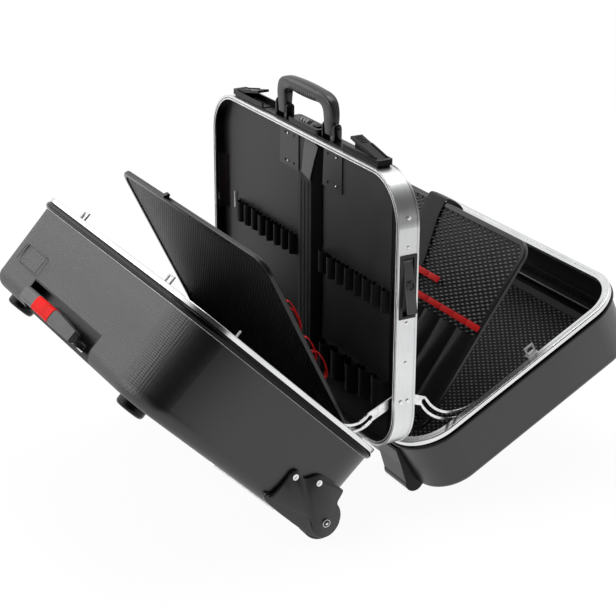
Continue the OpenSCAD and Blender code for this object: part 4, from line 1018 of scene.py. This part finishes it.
def board_strap():
    """Wide strap down the right board's face, that arches over the top edge and comes back behind."""
    top, middle = 293, 2
    front = [(-36, 157), (-24, 200), (-10, 238), (-1, 264), (middle, 284)]
    path = [on_board(RIGHT, along, height, 4.6) for along, height in front]
    for s in range(11):
        a = math.pi * s / 10
        path.append(on_board(RIGHT, middle, top + 1 + 6.0 * math.sin(a) ** 0.8, -12.6 + 17.4 * math.cos(a)))
    path += [on_board(RIGHT, middle, top - drop, off) for drop, off in ((26, -30), (29.5, -18), (29.5, -4.5))]
    put("board_strap_web", tape(smooth_path(path, 5), ALONG, 42, 1.3, 8), board_webbing, "right_tool_board",
        replaces=["board_strap"])


def board_pockets():
    """Pleated pockets: one sheet, gathered into round tubes below the red band."""
    count, start, end = 11, -213, 213
    low, high, foot = 24, 151, 3.0  # heights up the board, and how far off its middle the sheet is sewn down
    rows, columns = 16, 12
    pitch = (end - start) / count
    outer = []
    for j in range(rows + 1):
        t = j / rows
        height = low + (high - low) * t
        bulge = 6.6 * (0.72 + 0.28 * math.sin(math.pi * min(t * 1.15, 1)))
        line = []
        for k in range(count):
            sway = 1.2 * math.sin(2.1 * k + 3 * t)
            for c in range(columns):
                s = c / columns
                swell = math.sin(math.pi * s) ** 0.75
                crease = 0.35 * math.sin(9 * s + 5 * t + k) * swell
                line.append((start + (k + s) * pitch + sway * swell, height - 1.2 * swell * t * t,
                             foot + bulge * swell + crease))
        line.append((end, height, foot))
        outer.append(line)
    across = len(outer[0])
    points = [on_board(RIGHT, a, h, o) for line in outer for a, h, o in line]
    points += [on_board(RIGHT, a, h, max(o - 0.9, 2.35)) for line in outer for a, h, o in line]
    behind = across * (rows + 1)
    faces = []
    for j in range(rows):
        for c in range(across - 1):
            a = j * across + c
            quad = (a, a + 1, a + across + 1, a + across)
            faces.append(quad)
            faces.append(tuple(i + behind for i in quad[::-1]))
    rim = [j * across for j in range(rows + 1)] + [rows * across + c for c in range(1, across)]
    rim += [j * across + across - 1 for j in range(rows - 1, -1, -1)] + [c for c in range(across - 2, 0, -1)]
    for a, b in zip(rim, rim[1:] + rim[:1]):
        faces.append((a, b, b + behind, a + behind))
    piece = put("pleated_pockets", (points, faces), pocket_cloth, "right_tool_board", 60,
                ["board_pockets"])


# ---------------------------------------------------------------- stage, light and camera

EYE, LOOK = Vector((-1.0896, -1.9436, 1.1137)), Vector((0.00157, 0, 0.2117))
VIEW_ANGLE, ROLL = 20.14, 0.24  # degrees
CASE_MIDDLE = Vector((0, 0, 0.2))


def link(thing):
    """Puts an object into the scene."""
    bpy.context.scene.collection.objects.link(thing)
    return thing


def lamp(name, place, size, power):
    """A soft box that faces the case."""
    light = bpy.data.lights.new(name, "AREA")
    light.shape = "RECTANGLE"
    light.size, light.size_y = size
    light.energy = power
    made = link(bpy.data.objects.new(name, light))
    made.location = place
    made.visible_camera = False
    made.rotation_euler = (CASE_MIDDLE - Vector(place)).to_track_quat("-Z", "Y").to_euler()


def studio():
    """Pale floor, pale room with a dark side in front of the case, and three soft boxes."""
    floor = link(bpy.data.objects.new("floor", bpy.data.meshes.new("floor")))
    floor.data.from_pydata([(-6, -6, 0), (6, -6, 0), (6, 6, 0), (-6, 6, 0)], [], [(0, 1, 2, 3)])
    floor.data.materials.append(floor_skin())
    world = bpy.data.worlds.new("studio")
    bpy.context.scene.world = world
    world.use_nodes = True
    air = Nodes(world.node_tree)
    towards = air.node("ShaderNodeTexCoord", output="Generated")
    front = air.dot(towards, Vector((-0.15, -0.75, 0.6)).normalized()).step(0.40, 0.80)
    seen = air.node("ShaderNodeLightPath", output="Is Camera Ray").at_least(
        air.node("ShaderNodeLightPath", output="Is Transmission Ray"))
    background = air.tree.nodes["Background"].inputs
    air.feed(background["Color"], (1, 1, 1, 1))
    air.feed(background["Strength"], seen.at_least(0.9 - front * 0.87))
    lamp("back_softbox", (-1.5, 2.5, 1.7), (2.4, 1.4), 12)
    lamp("left_softbox", (-2.5, 0.8, 1.4), (1.2, 1.2), 12)
    lamp("top_softbox", (0.5, 0.3, 2.8), (1.6, 1.6), 22)


def camera():
    """Camera at the photograph's viewing angle."""
    lens = bpy.data.cameras.new("camera")
    lens.sensor_fit = "AUTO"
    lens.angle = math.radians(VIEW_ANGLE)
    made = link(bpy.data.objects.new("camera", lens))
    turn = (LOOK - EYE).to_track_quat("-Z", "Y").to_matrix().to_4x4()
    made.matrix_world = Matrix.Translation(EYE) @ turn @ Matrix.Rotation(math.radians(ROLL), 4, "Z")
    bpy.context.scene.camera = made


# ---------------------------------------------------------------- the whole case

dress_nodes()
panel_strap()
loop_tape("loop_row", [(20, 197, 8), (-224, -43, 8)], 191, 221, 8.0, 9.0, 1.8, "tool_loops")
loop_tape("low_loop_row", [(-222, -52, 5)], 54, 94, 14.5, 15.0, 5.0, "pocket_loops")
plate_rivets()
frame_edge()
carry_handle()
ear_caps()
key_rings()
side_bright_strips()
side_plates()
wheel_housings()
axle_ends()
edge_line(LEFT, pale_highlight_paint)
edge_line(RIGHT, faint_highlight_paint)
rim_bead(LEFT)
rim_bead(RIGHT)
label_outline()
tray_edge()
red_loops()
board_black_wedge()
red_bands()
board_strap()
board_pockets()
studio()
camera()
bpy.context.scene.view_settings.view_transform = "Standard"
